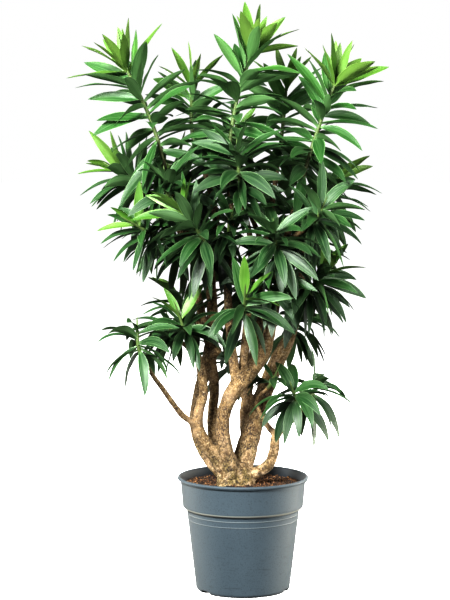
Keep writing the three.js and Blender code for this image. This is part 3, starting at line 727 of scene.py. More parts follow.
# %% Shoots
# Each leafy shoot has a growing tip, the length of its blades, how many of them are dark and how many young,
# how strongly they hang, and the twig that it ends.
SHOOT_PARTS = ("name", "tip", "leaf", "dark", "young", "hang", "twig")
SHOOT_ROWS = [
    ("crown", (15, -5, 1292), 152, 25, 9, 0.8, [(-30, -10, 915, 7.8), (-34, -10, 980, 6)]),
    ("left_top", (-270, -35, 1250), 152, 18, 9, 0.7,
     [(-160, -25, 955, 6.6), (-178, -25, 985, 6.2), (-185, -25, 1020, 5.6)]),
    ("right_top", (212, -30, 1215), 152, 18, 9, 0.7, [(125, -20, 940, 7), (141, -20, 1000, 5.8)]),
    ("back_left_top", (-125, 125, 1205), 138, 10, 4, 0.8, [(-84, 72, 988, 7), (-110, 108, 1055, 5.6)]),
    ("back_right_top", (105, 135, 1200), 142, 11, 5, 0.8, [(75, 102, 962, 7), (86, 115, 1035, 5.6)]),
    ("centre_left", (-132, -150, 920), 132, 12, 4, 1.1,
     [(-78, 12, 735, 9), (-75, -40, 772, 7), (-82, -110, 830, 5.8)]),
    ("right_low", (182, -60, 768), 132, 12, 4, 1.5, [(130, 12, 664, 9), (146, -25, 715, 6.4)]),
    ("centre_low", (2, -180, 722), 130, 10, 2, 1.4,
     [(-33, -22, 640, 8.5), (-23, -75, 657, 6.8), (-5, -135, 685, 5.6)]),
    ("left_mid", (-285, 65, 1010), 134, 11, 3, 1,
     [(-130, -20, 845, 7), (-175, 24, 905, 6.2), (-220, 50, 960, 5.4)]),
    ("left_low_mid", (-240, -85, 890), 124, 9, 2, 1.3,
     [(-121, -20, 808, 6.8), (-155, -36, 842, 6.2), (-186, -50, 858, 5.6)]),
    ("inner_left", (-185, -112, 1010), 132, 11, 0, 1.2, [(-143, -20, 898, 6.4), (-165, -72, 932, 5.4)]),
    ("front_centre", (72, -165, 892), 134, 13, 0, 1.3, [(86, -46, 775, 8), (80, -122, 822, 6)]),
    ("middle_left", (-28, -100, 922), 126, 9, 0, 1.2, [(-36, -14, 790, 8.5), (-38, -55, 838, 6)]),
    ("middle_right", (58, -128, 800), 126, 9, 0, 1.3, [(70, -53, 672, 9), (66, -88, 715, 6)]),
    ("deep_left", (-92, -62, 880), 122, 7, 0, 1.2, [(-79, 13, 770, 9), (-86, -25, 808, 6)]),
    ("deep_right", (150, -12, 862), 122, 7, 0, 1.3, [(88, -43, 790, 9), (118, -30, 815, 6)]),
    ("inner_centre", (-15, -130, 1075), 140, 15, 0, 1.1, [(15, -28, 873, 7), (0, -82, 942, 5.6)]),
    ("inner_right", (185, -110, 940), 132, 11, 0, 1.2, [(104, -33, 860, 7), (147, -76, 886, 5.8)]),
    ("right_mid", (222, 135, 985), 130, 10, 2, 1.2, [(165, 124, 843, 6.6), (182, 122, 905, 5.4)]),
    ("low_left", (-146, -62, 658), 118, 7, 2, 1.5, [(-118, -40, 590, 8), (-134, -50, 626, 5.8)]),
    ("low_left_side", (-178, -28, 655), 112, 5, 0, 1.5, [(-114, -40, 584, 6.5), (-159, -31, 620, 4.8)]),
    ("far_left", (-252, -128, 652), 118, 11, 0, 1.8, [(-215, -110, 540, 5.5), (-238, -123, 582, 4.6)]),
    ("low_right_front", (120, -68, 497), 124, 11, 0, 2, [(110, -21, 416, 7.4), (123, -46, 455, 5.6)]),
    ("low_right_side", (180, 30, 500), 124, 12, 0, 2, [(125, 0, 420, 6.4), (155, 19, 455, 5.4)]),
    ("low_right_inner", (76, -45, 532), 104, 5, 0, 1.6, [(33, 4, 462, 5.6), (60, -30, 500, 4.6)]),
    ("pale_left", (-150, 145, 690), 122, 7, 3, 1, [(-78, 18, 612, 9), (-112, 100, 645, 5.8)]),
    ("back_centre", (-15, 195, 1082), 135, 10, 2, 1,
     [(53, 80, 822, 8), (36, 124, 870, 6.8), (16, 160, 915, 6)]),
    ("back_mid_left", (-162, 185, 982), 128, 9, 2, 1.2, [(-74, 22, 852, 8), (-116, 125, 897, 6)]),
    ("back_mid_right", (120, 232, 945), 128, 9, 2, 1.2, [(151, 124, 786, 7.4), (140, 195, 857, 5.8)]),
    ("back_low_centre", (-22, 205, 752), 125, 8, 2, 1.4, [(36, 68, 615, 8.5), (9, 150, 677, 6)]),
    ("back_low_right", (155, 172, 668), 121, 8, 2, 1.4, [(82, 45, 550, 9.5), (119, 130, 605, 6.2)]),
    ("back_low", (-46, 125, 572), 110, 6, 0, 1.6, [(9, 55, 455, 9), (-25, 110, 510, 5.6)]),
    ("back_left", (-190, 150, 848), 124, 8, 2, 1.3, [(-78, 15, 750, 8), (-136, 104, 806, 6)]),
    ("back_right", (180, 225, 822), 122, 7, 2, 1.3, [(139, 114, 728, 7), (160, 186, 780, 5.6)]),
]
SHOOTS = [dict(zip(SHOOT_PARTS, row)) for row in SHOOT_ROWS]
print("shoots:", len(SHOOTS))

# %% Wood skin
STEM_SIDES = 18
VOXEL = 0.0025
STUMP_LEVELS = [(190, 0.62), (225, 0.84), (250, 1.04), (272, 1), (292, 0.92), (315, 0.62)]  # height and share
STUMP_HALF = (45, 40)  # half its width and depth in the soil's surface
STUMP_SIDES, STUMP_RINGS = 48, 31
LOBE_TURN = 0.8  # where its three lobes stand, in radians
# A limb was once cut off at the left fork, and left this short stub.
CUT_STUB = [(-80, 16, 566, 12), (-68, -4, 584, 10.5), (-59, -17, 593, 9.5)]


def woody_lines():
    """The middle line of every woody stem. A twig that starts where a branch ends carries that one on."""
    lines = [list(points) for points in BRANCHES]
    for shoot in SHOOTS:
        carried = [line for line in lines if line[-1][:3] == shoot["twig"][0][:3]]
        if carried:
            carried[0] += shoot["twig"][1:]
        else:
            lines.append(list(shoot["twig"]))
    return [*lines, CUT_STUB]


def fine_line(points, step=5):
    """A smooth line through points of x, y, z and radius, with points about a step apart."""
    points = np.array(points, float)
    counts = np.maximum(2, step_lengths(points[:, :3]) // step).astype(int)
    stops = [np.arange(count) / count + i for i, count in enumerate(counts)]
    return smooth_through(points, np.append(np.concatenate(stops), len(points) - 1))


def stump():
    """The lobed foot that all the stems grow from."""
    angles = angles_round(STUMP_SIDES)
    lobes = 1 + 0.1 * np.cos(3 * angles + LOBE_TURN) + 0.05 * np.cos(5 * angles)
    rings = []
    for z, share in smooth_through(STUMP_LEVELS, np.linspace(0, len(STUMP_LEVELS) - 1, STUMP_RINGS)):
        x = STUMP_PLACE[0] + STUMP_HALF[0] * share * lobes * np.cos(angles)
        y = STUMP_PLACE[1] + STUMP_HALF[1] * share * lobes * np.sin(angles)
        rings.append(np.stack([x, y, np.full(STUMP_SIDES, z)], 1))
    return np.concatenate(rings), closed_faces(len(rings), STUMP_SIDES)


lines = [fine_line(points) for points in woody_lines()]
stems = [tube(line[:, :3], line[:, 3], STEM_SIDES) for line in lines]
wood = new_object("bark_wood", *joined([stump(), *stems]))
applied(wood, "REMESH", mode="VOXEL", voxel_size=VOXEL, use_smooth_shade=True)
applied(wood, "SMOOTH", factor=0.5, iterations=4)
print("wood:", len(wood.data.vertices), "points in one skin")

# %% [markdown]
# Bark needs to know which way its stem runs: fibres and cracks go along it, and the scars that old leaves
# left go round it. So each point of the skin looks up the nearest middle line, and keeps its place beside
# and along it, as if the stem had been pulled straight. The relief below and the colours later both use
# that straightened place, so they turn with every bend.

# %% Straightened bark
STEM_SHIFT = 613  # moves the marks along from one stem to the next, so that no two have the same pattern
NEAREST = 6  # how many points of the middle lines are compared


def straightened(piece, lines):
    """For each point of the piece: beside its stem in two directions, and along it, in millimetres."""
    spots, frames = [], []
    for number, line in enumerate(lines):
        path = line[:, :3]
        run = np.concatenate([[0], np.cumsum(step_lengths(path))]) + STEM_SHIFT * number
        for (spot, across, beside, axis), along, radius in zip(frames_along(path), run, line[:, 3]):
            spots.append(spot)
            frames.append((across, beside, axis, along, radius))
    tree = kdtree.KDTree(len(spots))
    for i, spot in enumerate(spots):
        tree.insert(spot, i)
    tree.balance()
    places = []
    for vertex in piece.data.vertices:
        point = np.array(vertex.co) / MM
        # Of the nearest few, the one whose own surface is nearest.
        near = min(tree.find_n(point, NEAREST), key=lambda found: found[2] - frames[found[1]][4])[1]
        across, beside, axis, along, radius = frames[near]
        away = point - spots[near]
        places.append((away @ across, away @ beside, along + away @ axis, radius))
    return np.array(places)


bark_places = straightened(wood, lines)
write_marks(wood, "bark_place", bark_places[:, :3] * MM)
print("bark runs along", len(lines), "stems")

# %% Bark relief
# How high each kind of relief stands, in millimetres.
KNOBS, WRINKLES, SCARS, GRAIN, CREASES = 1.5, 0.6, 0.45, 0.35, 5
CREASE_TOP, CREASE_FADE = 330, 40  # the foot's creases end at this height, and fade over so much below it
THICK_STEM = 16  # thinner stems than this radius have lower knobs and wrinkles


def bark_lift(point, place):
    """How far the bark stands out, in millimetres: knobs, scars, wrinkles, and the foot's creases."""
    x, y, along, radius = place
    knobs = noise.noise(Vector(point) / 21)
    wrinkle = noise.noise(Vector((x / 2.6, y / 2.6, along / 19)))
    scar_beat = along / (7 + 0.35 * radius) + 0.8 * noise.noise(Vector((x / 9, y / 9, along / 30)))
    scar = max(0.0, math.cos(2 * math.pi * scar_beat)) ** 6
    grain = noise.noise(Vector(point) / 3.1)
    size = min(1.0, radius / THICK_STEM)
    around = math.atan2(point[1] - STUMP_PLACE[1], point[0] - STUMP_PLACE[0]) + 0.3 * knobs
    low = min(1.0, max(0.0, (CREASE_TOP - point[2]) / CREASE_FADE))
    crease = CREASES * max(0.0, -math.cos(3 * around + LOBE_TURN)) ** 8 * low
    scarred = SCARS * scar * (0.4 + noise.noise(Vector(point) / 6))
    return size * (KNOBS * knobs + WRINKLES * wrinkle) + scarred + GRAIN * grain - crease


points = np.empty(len(wood.data.vertices) * 3)
normals = np.empty(len(wood.data.vertices) * 3)
wood.data.vertices.foreach_get("co", points)
wood.data.vertices.foreach_get("normal", normals)
points, normals = points.reshape(-1, 3), normals.reshape(-1, 3)
lifts = [bark_lift(point / MM, place) for point, place in zip(points, bark_places)]
points += normals * np.array(lifts)[:, None] * MM
wood.data.vertices.foreach_set("co", points.ravel())
wood.data.update()
print("bark stands out by", round(min(lifts), 1), "to", round(max(lifts), 1), "mm")

# %% [markdown]
# The bark is pale tan, with bare patches between darker cracks, near-black flecks of old lichen, and rings
# where leaves once sat. The foot is rougher: it has cream plates, dark blotches, and a little green where it
# stays damp. Each of these is its own noise: stretched along the stem for fibres, round it for scars, and
# even in all directions for flakes, flecks and patches.


# %% Bark
def bark():
    finish = Finish("bark", roughness=0.85)
    spot = finish.place()
    straight = finish.mark("bark_place")
    plates = finish.noise(spot, scale=90, detail=5, roughness=0.65)
    fibres = finish.noise(finish.scaled(straight, (420, 420, 45)), scale=1, detail=4)
    scars = finish.noise(finish.scaled(straight, (40, 40, 330)), scale=1, detail=3)
    flakes = finish.noise(spot, scale=230, detail=5, roughness=0.7)
    flecks = finish.noise(finish.scaled(spot, (1, 1, 0.6)), scale=300, detail=4, roughness=0.65)
    stains = finish.noise(spot, scale=24, detail=4)
    bare = finish.noise(spot, scale=14, detail=3)
    blotches = finish.noise(spot, scale=65, detail=5, roughness=0.7)
    height = finish.parts(spot)[2]
    foot = finish.share(height, 0.42, 0.28)
    cream = finish.both(finish.share(plates, 0.5, 0.62), foot)
    damp = finish.both(finish.share(height, 0.4, 0.27), finish.share(stains, 0.42, 0.62))
    blotched = finish.both(finish.share(blotches, 0.52, 0.6), foot)
    lichen = finish.both(finish.share(flecks, 0.53, 0.58), finish.share(stains, 0.46, 0.56))
    finish.ground("44331d", "836d48", finish.share(plates, 0.38, 0.6))
    finish.coat("604b2d", finish.share(fibres, 0.4, 0.68))
    finish.coat("b3a189", cream, 0.55)
    finish.coat("b0a284", finish.share(flakes, 0.5, 0.66), 0.6)
    finish.coat("2c2014", finish.share(flakes, 0.46, 0.34), 0.8)
    finish.coat("4c3424", finish.share(scars, 0.62, 0.72), 0.45)
    finish.coat("6d6a30", damp, 0.3)
    finish.coat("a38d72", finish.share(bare, 0.5, 0.68), 0.28)
    finish.coat("2b2117", blotched, 0.7)
    finish.coat("211517", lichen, 0.9)
    normal = finish.relief(fibres, 0.0012, 0.7)
    return finish.done(finish.relief(flakes, 0.0016, 0.9, over=normal))


wood.data.materials.clear()
wood.data.materials.append(bark())
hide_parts("wood")
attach(wood, "root")
print("wood dressed")

# %% [markdown]
# ## Where each blade grows
#
# A dracaena sets its blades in a spiral, one every 137.5 degrees, so no two sit right above each other. The
# solid model follows that rule from the top of each shoot down, and turns or shortens a blade that would run
# into wood or into an earlier blade. The same rule, with the same seeded draws, is written again here. It
# gives back the very blades of the solids, as a midrib, the direction across it, and its upper face.

# %% Stem lines
SEAT_GAP = 0.4
STEM_STEP = 70
TUFT_LENGTH = 26


def drawer(seed):
    """Draws from 0 to 1 that repeat for the same seed."""
    state = seed * 7919 + 12345

    def draw():
        nonlocal state
        state = (state * 1664525 + 1013904223) % 4294967296
        return state / 4294967296

    draw()
    draw()
    return draw


def mix(low, high, share):
    return low + (high - low) * share


def shoot_line(shoot):
    """A shoot's stem: it leaves the twig's end straight on and bends to the growing tip."""
    before, end = (np.array(point[:3], float) for point in shoot["twig"][-2:])
    tip = np.array(shoot["tip"], float)
    lean = unit(end - before)
    start = end + lean * SEAT_GAP
    reach = np.linalg.norm(tip - start)
    bend = start + lean * reach / 2
    pieces = max(3, math.floor(reach / STEM_STEP + 0.5))
    t = np.linspace(0, 1, pieces + 1)[:, None]
    return (1 - t) ** 2 * start + 2 * t * (1 - t) * bend + t**2 * tip


def tuft_line(shoot):
    """The tuft's stem goes straight on from the shoot's tip."""
    before, tip = shoot_line(shoot)[-2:]
    onward = unit(tip - before)
    return np.array([tip + onward * SEAT_GAP, tip + onward * (SEAT_GAP + TUFT_LENGTH)])


def line_length(line):
    return step_lengths(line).sum()


def spot_on(line, share):
    """The spot at a share of the way along a line, and the line's direction there."""
    left = share * line_length(line)
    for i in range(1, len(line)):
        step = np.linalg.norm(line[i] - line[i - 1])
        axis = (line[i] - line[i - 1]) / step
        if left <= step or i + 1 == len(line):
            return line[i - 1] + axis * left, axis
        left -= step


print("longest shoot:", round(max(line_length(shoot_line(shoot)) for shoot in SHOOTS)), "mm")

# %% Blade line
LEAF_STEPS = 8
LEAF_RATIO = 0.23  # a blade's width over its length
ROOT_OFFSET = 2.2  # how far from the stem's middle a blade starts


def blade_width(length, t):
    """A blade's width at a share of its length."""
    belly = np.sin(np.pi * np.clip(t, 0, 1) ** 0.85).clip(0) ** 0.8
    return length * LEAF_RATIO * np.maximum(0.1 * (1 - t), belly)


def blade_line(root, axis, outward, angle, length, droop, twist):
    """One blade: its midrib, the direction across it and its upper face's normal at each step."""
    along = axis * math.cos(angle) + outward * math.sin(angle)
    flat = unit(np.cross(along, axis))
    across = flat * math.cos(twist) + np.cross(flat, along) * math.sin(twist)
    spine, sides, normals = [root + along * ROOT_OFFSET], [across], [np.cross(across, along)]
    for step in range(1, LEAF_STEPS + 1):
        along = unit(along - np.array([0, 0, droop * (0.5 + step / LEAF_STEPS)]))
        across = unit(across - along * (across @ along))
        spine.append(spine[-1] + along * length / LEAF_STEPS)
        sides.append(across)
        normals.append(np.cross(across, along))
    made = {"spine": np.array(spine), "sides": np.array(sides), "normals": np.array(normals)}
    return {**made, "length": length}


SAMPLE_STEPS = np.array([step for step in range(1, LEAF_STEPS) for _ in range(3)] + [LEAF_STEPS])


def blade_samples(blade):
    """Points on a blade that its clearance is measured at: the midrib and both edges."""
    spots = []
    for step in range(1, LEAF_STEPS + 1):
        half = blade_width(blade["length"], step / LEAF_STEPS) / 2 if step < LEAF_STEPS else 0
        for share in (0, -half, half) if half else (0,):
            spots.append(blade["spine"][step] + blade["sides"][step] * share)
    return np.array(spots)


print("a blade is tested at", len(SAMPLE_STEPS), "points")

# %% Clearance
FREE_FROM = 4  # blades that grow together may touch before this step
MOST_SAMPLES = 60000
FAR_AWAY = 1e6


def wood_samples():
    """Points along all the wood, with its radius."""
    spots = []
    for points in [*BRANCHES, *(shoot["twig"] for shoot in SHOOTS)]:
        for first, second in zip(np.array(points[:-1], float), np.array(points[1:], float)):
            spots += [mix(first, second, share) for share in (0, 0.25, 0.5, 0.75)]
    return np.array(spots)


wood_spots = wood_samples()
stem_spots = []
for shoot in SHOOTS:
    line = shoot_line(shoot)
    stem_spots.append([spot_on(line, i / 10)[0] for i in range(11)] + [tuft_line(shoot)[1]])
stem_spots = np.array(stem_spots)

leaf_at = np.full((MOST_SAMPLES, 3), FAR_AWAY)
leaf_marks = np.zeros((MOST_SAMPLES, 3), int)  # owner, whether it's in the tuft, step
leaf_count = 0


def apart(first, second):
    """The distances between two sets of points."""
    return np.linalg.norm(first[:, None] - second[None], axis=2)


def is_clear(samples, owner, tuft, clear):
    """Whether a blade keeps its distance from the wood, the other stems and the earlier blades."""
    outer = samples[SAMPLE_STEPS > 1]
    if (apart(outer, wood_spots[:, :3]) < wood_spots[:, 3] + clear["wood"]).any():
        return False
    if (apart(samples, np.delete(stem_spots, owner, 0).reshape(-1, 3)) < clear["shoot"]).any():
        return False
    low, high = samples.min(0) - clear["other"], samples.max(0) + clear["other"]
    near = np.flatnonzero(((leaf_at[:leaf_count] > low) & (leaf_at[:leaf_count] < high)).all(1))
    marks = leaf_marks[near]
    own = marks[:, 0] == owner
    together = own & (marks[:, 1] == tuft)
    least = np.where(own, np.where(together, clear["own"], clear["tuft"]), clear["other"])
    free = together & (np.minimum(SAMPLE_STEPS[:, None], marks[:, 2]) < FREE_FROM)
    return not ((apart(samples, leaf_at[near]) < least) & ~free).any()


def keep_samples(samples, owner, tuft):
    """Remembers a blade, so that later ones stay clear of it."""
    global leaf_count
    rows = slice(leaf_count, leaf_count + len(samples))
    leaf_at[rows] = samples
    leaf_marks[rows] = np.stack([np.full(len(samples), owner), np.full(len(samples), tuft), SAMPLE_STEPS], 1)
    leaf_count += len(samples)


print("wood is tested at", len(wood_spots), "points")

# %% How blades grow
GOLDEN_ANGLE = 137.5
TUFT_TURN = 467
SHOOT_TURN = 40
ZERO_SIDE = (0.36, -0.48, 0.8)  # the turn round a stem is counted from beside this direction
LOWEST, HIGHEST = 10, 5  # how near the ends of a stem blades grow, in millimetres
# How much chance changes a blade: degrees round the stem, up from it and about its midrib, and shares of its
# length and of its droop.
CHANCE = {"turn": 24, "angle": 30, "twist": 105, "length": 0.16, "droop": 0.6}
# How blades grow. The key True is for the young blades of a tuft, and False for the dark ones of a shoot. A
# pair of numbers is for the foot of the stem and for its tip.
SOLID_GROWTH = {
    "seed": 1,  # of the first shoot's draws
    "turn": 0,  # degrees round the stem that all the blades are moved by
    "amount": {False: 1, True: 1},  # blades for each one of the solids
    # Degrees from the stem, how much a blade droops, and its share of the shoot's blade length.
    "habit": {
        False: {"angle": (124, 44), "droop": (0.1, 0.05), "size": (0.95, 0.95)},
        True: {"angle": (60, 14), "droop": (0.04, 0.04), "size": (1.0, 0.7)},
    },
    # How near a blade may come to what is there already, in millimetres.
    "clear": {"wood": 8, "shoot": 13, "other": 13.5, "own": 7.5, "tuft": 11},
    # The places that it tries: degrees round the stem, degrees up towards it, and a share of its length.
    "tries": [(0, 0, 1), (16, -6, 1), (-16, 6, 1), (30, 10, 0.96), (-30, -12, 0.96), (8, 20, 0.9),
              (-44, 8, 0.9), (44, -8, 0.86), (0, 28, 0.8)],
}
print("a blade tries", len(SOLID_GROWTH["tries"]), "places")


# %% Placing blades
def inside_box(samples):
    """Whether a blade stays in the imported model's box."""
    low, high = (np.array(corner) / MM for corner in cad_box)
    return bool(((samples > low - 1) & (samples < high + 1)).all())


def place_blade(shoot, owner, line, share, turn, tuft, draw, growth):
    """Places one blade at a share of the way up its stem, or gives None where no try is clear."""
    habit = growth["habit"][tuft]
    turn += CHANCE["turn"] * (draw() - 0.5)
    angle = mix(*habit["angle"], share) + CHANCE["angle"] * (draw() - 0.5)
    length = shoot["leaf"] * mix(*habit["size"], share) * (1 + CHANCE["length"] * (draw() - 0.5))
    droop = shoot["hang"] * mix(*habit["droop"], share) * (1 + CHANCE["droop"] * (draw() - 0.5))
    twist = math.radians(CHANCE["twist"] * (draw() - 0.5))
    whole = line_length(line)
    height = mix(min(0.4, LOWEST / whole), 1 - HIGHEST / whole, share)
    root, axis = spot_on(line, height)
    across = unit(np.cross(ZERO_SIDE, axis))
    beside = np.cross(axis, across)
    for swing, lift, scale in growth["tries"]:
        round_it = math.radians(turn + swing)
        outward = across * math.cos(round_it) + beside * math.sin(round_it)
        made = blade_line(root, axis, outward, math.radians(angle - lift), length * scale, droop, twist)
        samples = blade_samples(made)
        if inside_box(samples) and is_clear(samples, owner, tuft, growth["clear"]):
            keep_samples(samples, owner, tuft)
            return {**made, "share": 1.0 if tuft else height, "tuft": tuft, "root": root}
    return None


print("blades stay in the box", [[round(v / MM) for v in corner] for corner in cad_box])


# %% Blades of the solids
def grow(growth, fewer):
    """Grows blades on every tuft and shoot, from its tip down. Some shoots may have fewer."""
    for owner, shoot in enumerate(SHOOTS):
        draw = drawer(owner + growth["seed"])
        young, dark = (True, tuft_line(shoot), shoot["young"]), (False, shoot_line(shoot), shoot["dark"])
        for tuft, line, wanted in (young, dark):
            most = growth["amount"][tuft]
            count = round(wanted * min(most, fewer.get(shoot["name"], most)))
            for index in reversed(range(count)):
                turn = GOLDEN_ANGLE * index + TUFT_TURN * tuft + SHOOT_TURN * owner + growth["turn"]
                made = place_blade(shoot, owner, line, (index + 0.5) / count, turn, tuft, draw, growth)
                blades[shoot["name"], tuft] += [made] if made else []


blades = {(shoot["name"], tuft): [] for shoot in SHOOTS for tuft in (True, False)}
grow(SOLID_GROWTH, fewer={})
print("blades of the solids:", sum(map(len, blades.values())))

# %% [markdown]
# The living plant has more blades than the solids can hold: each head shows two or three times as many, and
# the dark heart of the plant is where they overlap. The same rule runs again between the first blades, with
# less room asked for, so the heads fill up and nothing leaves the model's box.

# %% Blades in between
FILL_GROWTH = {
    "seed": 101,
    "turn": 68,
    "amount": {False: 2.2, True: 0.5},
    "habit": {
        False: {"angle": (112, 36), "droop": (0.12, 0.05), "size": (0.85, 0.9)},
        True: {"angle": (50, 12), "droop": (0.03, 0.03), "size": (0.85, 0.6)},
    },
    "clear": {"wood": 5, "shoot": 9, "other": 6.5, "own": 4.2, "tuft": 6},
    "tries": [*SOLID_GROWTH["tries"], (70, 0, 0.95), (-70, 5, 0.9), (100, 10, 0.9), (-110, -10, 0.85),
              (150, 5, 0.85)],
}
FEWER = {"crown": 1.6, "left_top": 1.3, "right_top": 1.3, "far_left": 0.5, "centre_low": 0.5,
         "low_right_front": 0.5, "low_right_side": 0.6, "low_right_inner": 0.4}

grow(FILL_GROWTH, FEWER)
print("blades in all:", sum(map(len, blades.values())))

# %% [markdown]
# ## A blade
#
# A dracaena's blade is long, narrow and pointed. It is folded a little along its midrib, its edges wave, and
# its root is a pale sheath that hugs the stem. Each one is a closed thin skin: seven points across its upper
# face, five across its under face, and rings of them along the midrib. The mesh also carries where each
# point lies on the blade, because the veins, the pale edge and the paler under face are drawn from that.

# %% A blade's measures
RINGS = 15
TOP = np.array([-1, -0.7, -0.35, 0, 0.35, 0.7, 1])
UNDER = np.array([0.7, 0.35, 0, -0.35, -0.7])
COLUMNS = np.concatenate([TOP, UNDER])
ON_UNDER = np.concatenate([np.zeros(len(TOP)), np.ones(len(UNDER))])
ROOT_HALF = 3.6  # half the width of the sheath at the stem
SHEATH = 0.16  # the share of a blade that its sheath takes up
SWAY, SAG = (-0.08, 0.08), (0.04, -0.13)  # how far a tip bends more, as shares of the blade's length
TUFT_LIMP = 0.4  # young blades bend this much of that
ROLL = 26  # degrees by which blades differ in their turn about the midrib
FOLD, SHEATH_FOLD = (0.16, 0.34), 0.55  # how much the edges rise, as shares of half the width
WAVE, WAVES = (0.02, 0.10), (1.2, 2.4)  # how much the edges wave, and how often
THIN, KEEL = 0.35, 1.25  # the thickness of the edges, and how much more it is at the midrib
print("a blade has", RINGS - 1, "rings of", len(COLUMNS), "points and a tip")


# %% Blade skin
def blade_skin(blade, draw):
    """Points, faces, and for each point its place on the blade (across, along, under)."""
    t = (np.linspace(0, 1, RINGS) ** 0.92)[:-1]
    stops = t * LEAF_STEPS
    # No two blades hang quite alike, so each one bends a little more, sideways and down or up.
    limp = blade["length"] * (TUFT_LIMP if blade["tuft"] else 1)
    bend = limp * (mix(*SWAY, draw()) * blade["sides"][0] + (0, 0, mix(*SAG, draw())))
    spine = smooth_through(blade["spine"], stops) + np.outer(t**2, bend)
    sides = unit(smooth_through(blade["sides"], stops))
    normals = unit(smooth_through(blade["normals"], stops))
    roll = np.radians(ROLL * (draw() - 0.5)) * (t - 0.3)
    turn, tilt = np.cos(roll)[:, None], np.sin(roll)[:, None]
    sides, normals = sides * turn + normals * tilt, normals * turn - sides * tilt
    half = np.maximum(blade_width(blade["length"], t) / 2, ROOT_HALF * (1 - t / SHEATH))
    fold = mix(*FOLD, draw()) * (1 - 0.5 * t) + SHEATH_FOLD * np.exp(-((t / 0.09) ** 2))
    right, left = (
        mix(*WAVE, draw()) * np.sin(2 * np.pi * (mix(*WAVES, draw()) * t + draw())) for _ in range(2)
    )
    ripple = np.where(COLUMNS > 0, right[:, None], left[:, None]) * COLUMNS**2
    thick = ON_UNDER * (THIN + (KEEL - 0.7 * t[:, None]) * np.exp(-((COLUMNS / 0.22) ** 2)))
    rise = half[:, None] * (fold[:, None] * np.abs(COLUMNS) ** 1.4 + ripple) - thick - 0.3
    points = (
        spine[:, None]
        + sides[:, None] * (half[:, None] * COLUMNS * (1 - 0.1 * fold[:, None]))[..., None]
        + normals[:, None] * rise[..., None]
    )
    ring = len(COLUMNS)
    faces = ring_faces(len(t), ring)
    tip = len(t) * ring
    faces += [(tip - ring + i, tip - ring + (i + 1) % ring, tip) for i in range(ring)]
    faces.append(tuple(reversed(range(ring))))
    places = np.stack([np.tile(COLUMNS, len(t)), np.repeat(t, ring), np.tile(ON_UNDER, len(t))], 1)
    return (
        np.concatenate([points.reshape(-1, 3), [blade["spine"][-1] + bend]]),
        faces,
        np.concatenate([places, [[0, 1, 0]]]),
    )


test_points, test_faces, _ = blade_skin(blades["crown", False][0], drawer(1))
print("one blade:", len(test_points), "points,", len(test_faces), "faces")

# %% [markdown]
# ## The leafy stems
#
# Between the blades a shoot's stem is pale green and ringed: each ring is the scar of a blade that fell. At
# its tip, the newest blade is still rolled up as a thin spear. Both are tubes. The rings are a small beat in
# the tube's radius, one every few millimetres.

# %% Shoot stems
SHOOT_RADIUS = {"base": 4.9, "tip": 3.8, "tuft": 2.2}
SCAR_STEP, SCAR_RISE = 5.5, 0.35
TWIG_SIDES, SPEAR_SIDES = 12, 8
SPEAR_LENGTH = {False: 34, True: 42}  # at the tip of a shoot, and of a tuft


def ringed_stem(line, start, end):
    """A stem along a line with leaf scars, from one radius to another."""
    count = max(8, int(line_length(line) / (SCAR_STEP / 4)))
    path = smooth_through(line, np.linspace(0, len(line) - 1, count))
    run = np.linspace(0, 1, count)
    beat = np.cos(2 * np.pi * run * line_length(line) / SCAR_STEP)
    return tube(path, mix(start, end, run) + SCAR_RISE * np.clip(beat, 0, 1) ** 2, TWIG_SIDES)


def spear(line, length):
    """The rolled newest blade, which goes on from a stem's tip and tapers to a point."""
    t = np.linspace(0, 1, 9)
    onward = unit(line[-1] - line[-2])
    radii = 3.0 * (1 - t) ** 0.7 * (0.75 + 0.5 * t) + 0.15
    return tube(line[-1] + np.outer(t * length, onward), radii, SPEAR_SIDES)


def leafy_piece(name, parts):
    """One object of a stem and its blades. Each part is points, faces, places, tone and material number."""
    piece = new_object(name, *joined([part[:2] for part in parts]), sharp_angle=62)
    write_marks(piece, "blade_place", np.concatenate([part[2] for part in parts]))
    write_marks(piece, "blade_tone", np.concatenate([np.tile(part[3], (len(part[0]), 1)) for part in parts]))
    numbers = np.concatenate([np.full(len(part[1]), part[4]) for part in parts])
    piece.data.polygons.foreach_set("material_index", numbers.astype(np.int32))
    return piece


def stem_part(shape, age):
    """A stem as a part of a leafy piece, with its share of the way up as its place."""
    points, faces = shape
    share = np.linspace(0, 1, len(points))
    return points, faces, np.stack([share * 0, share, share * 0], 1), (0.5, age, 0), 1


print("stem tools ready")
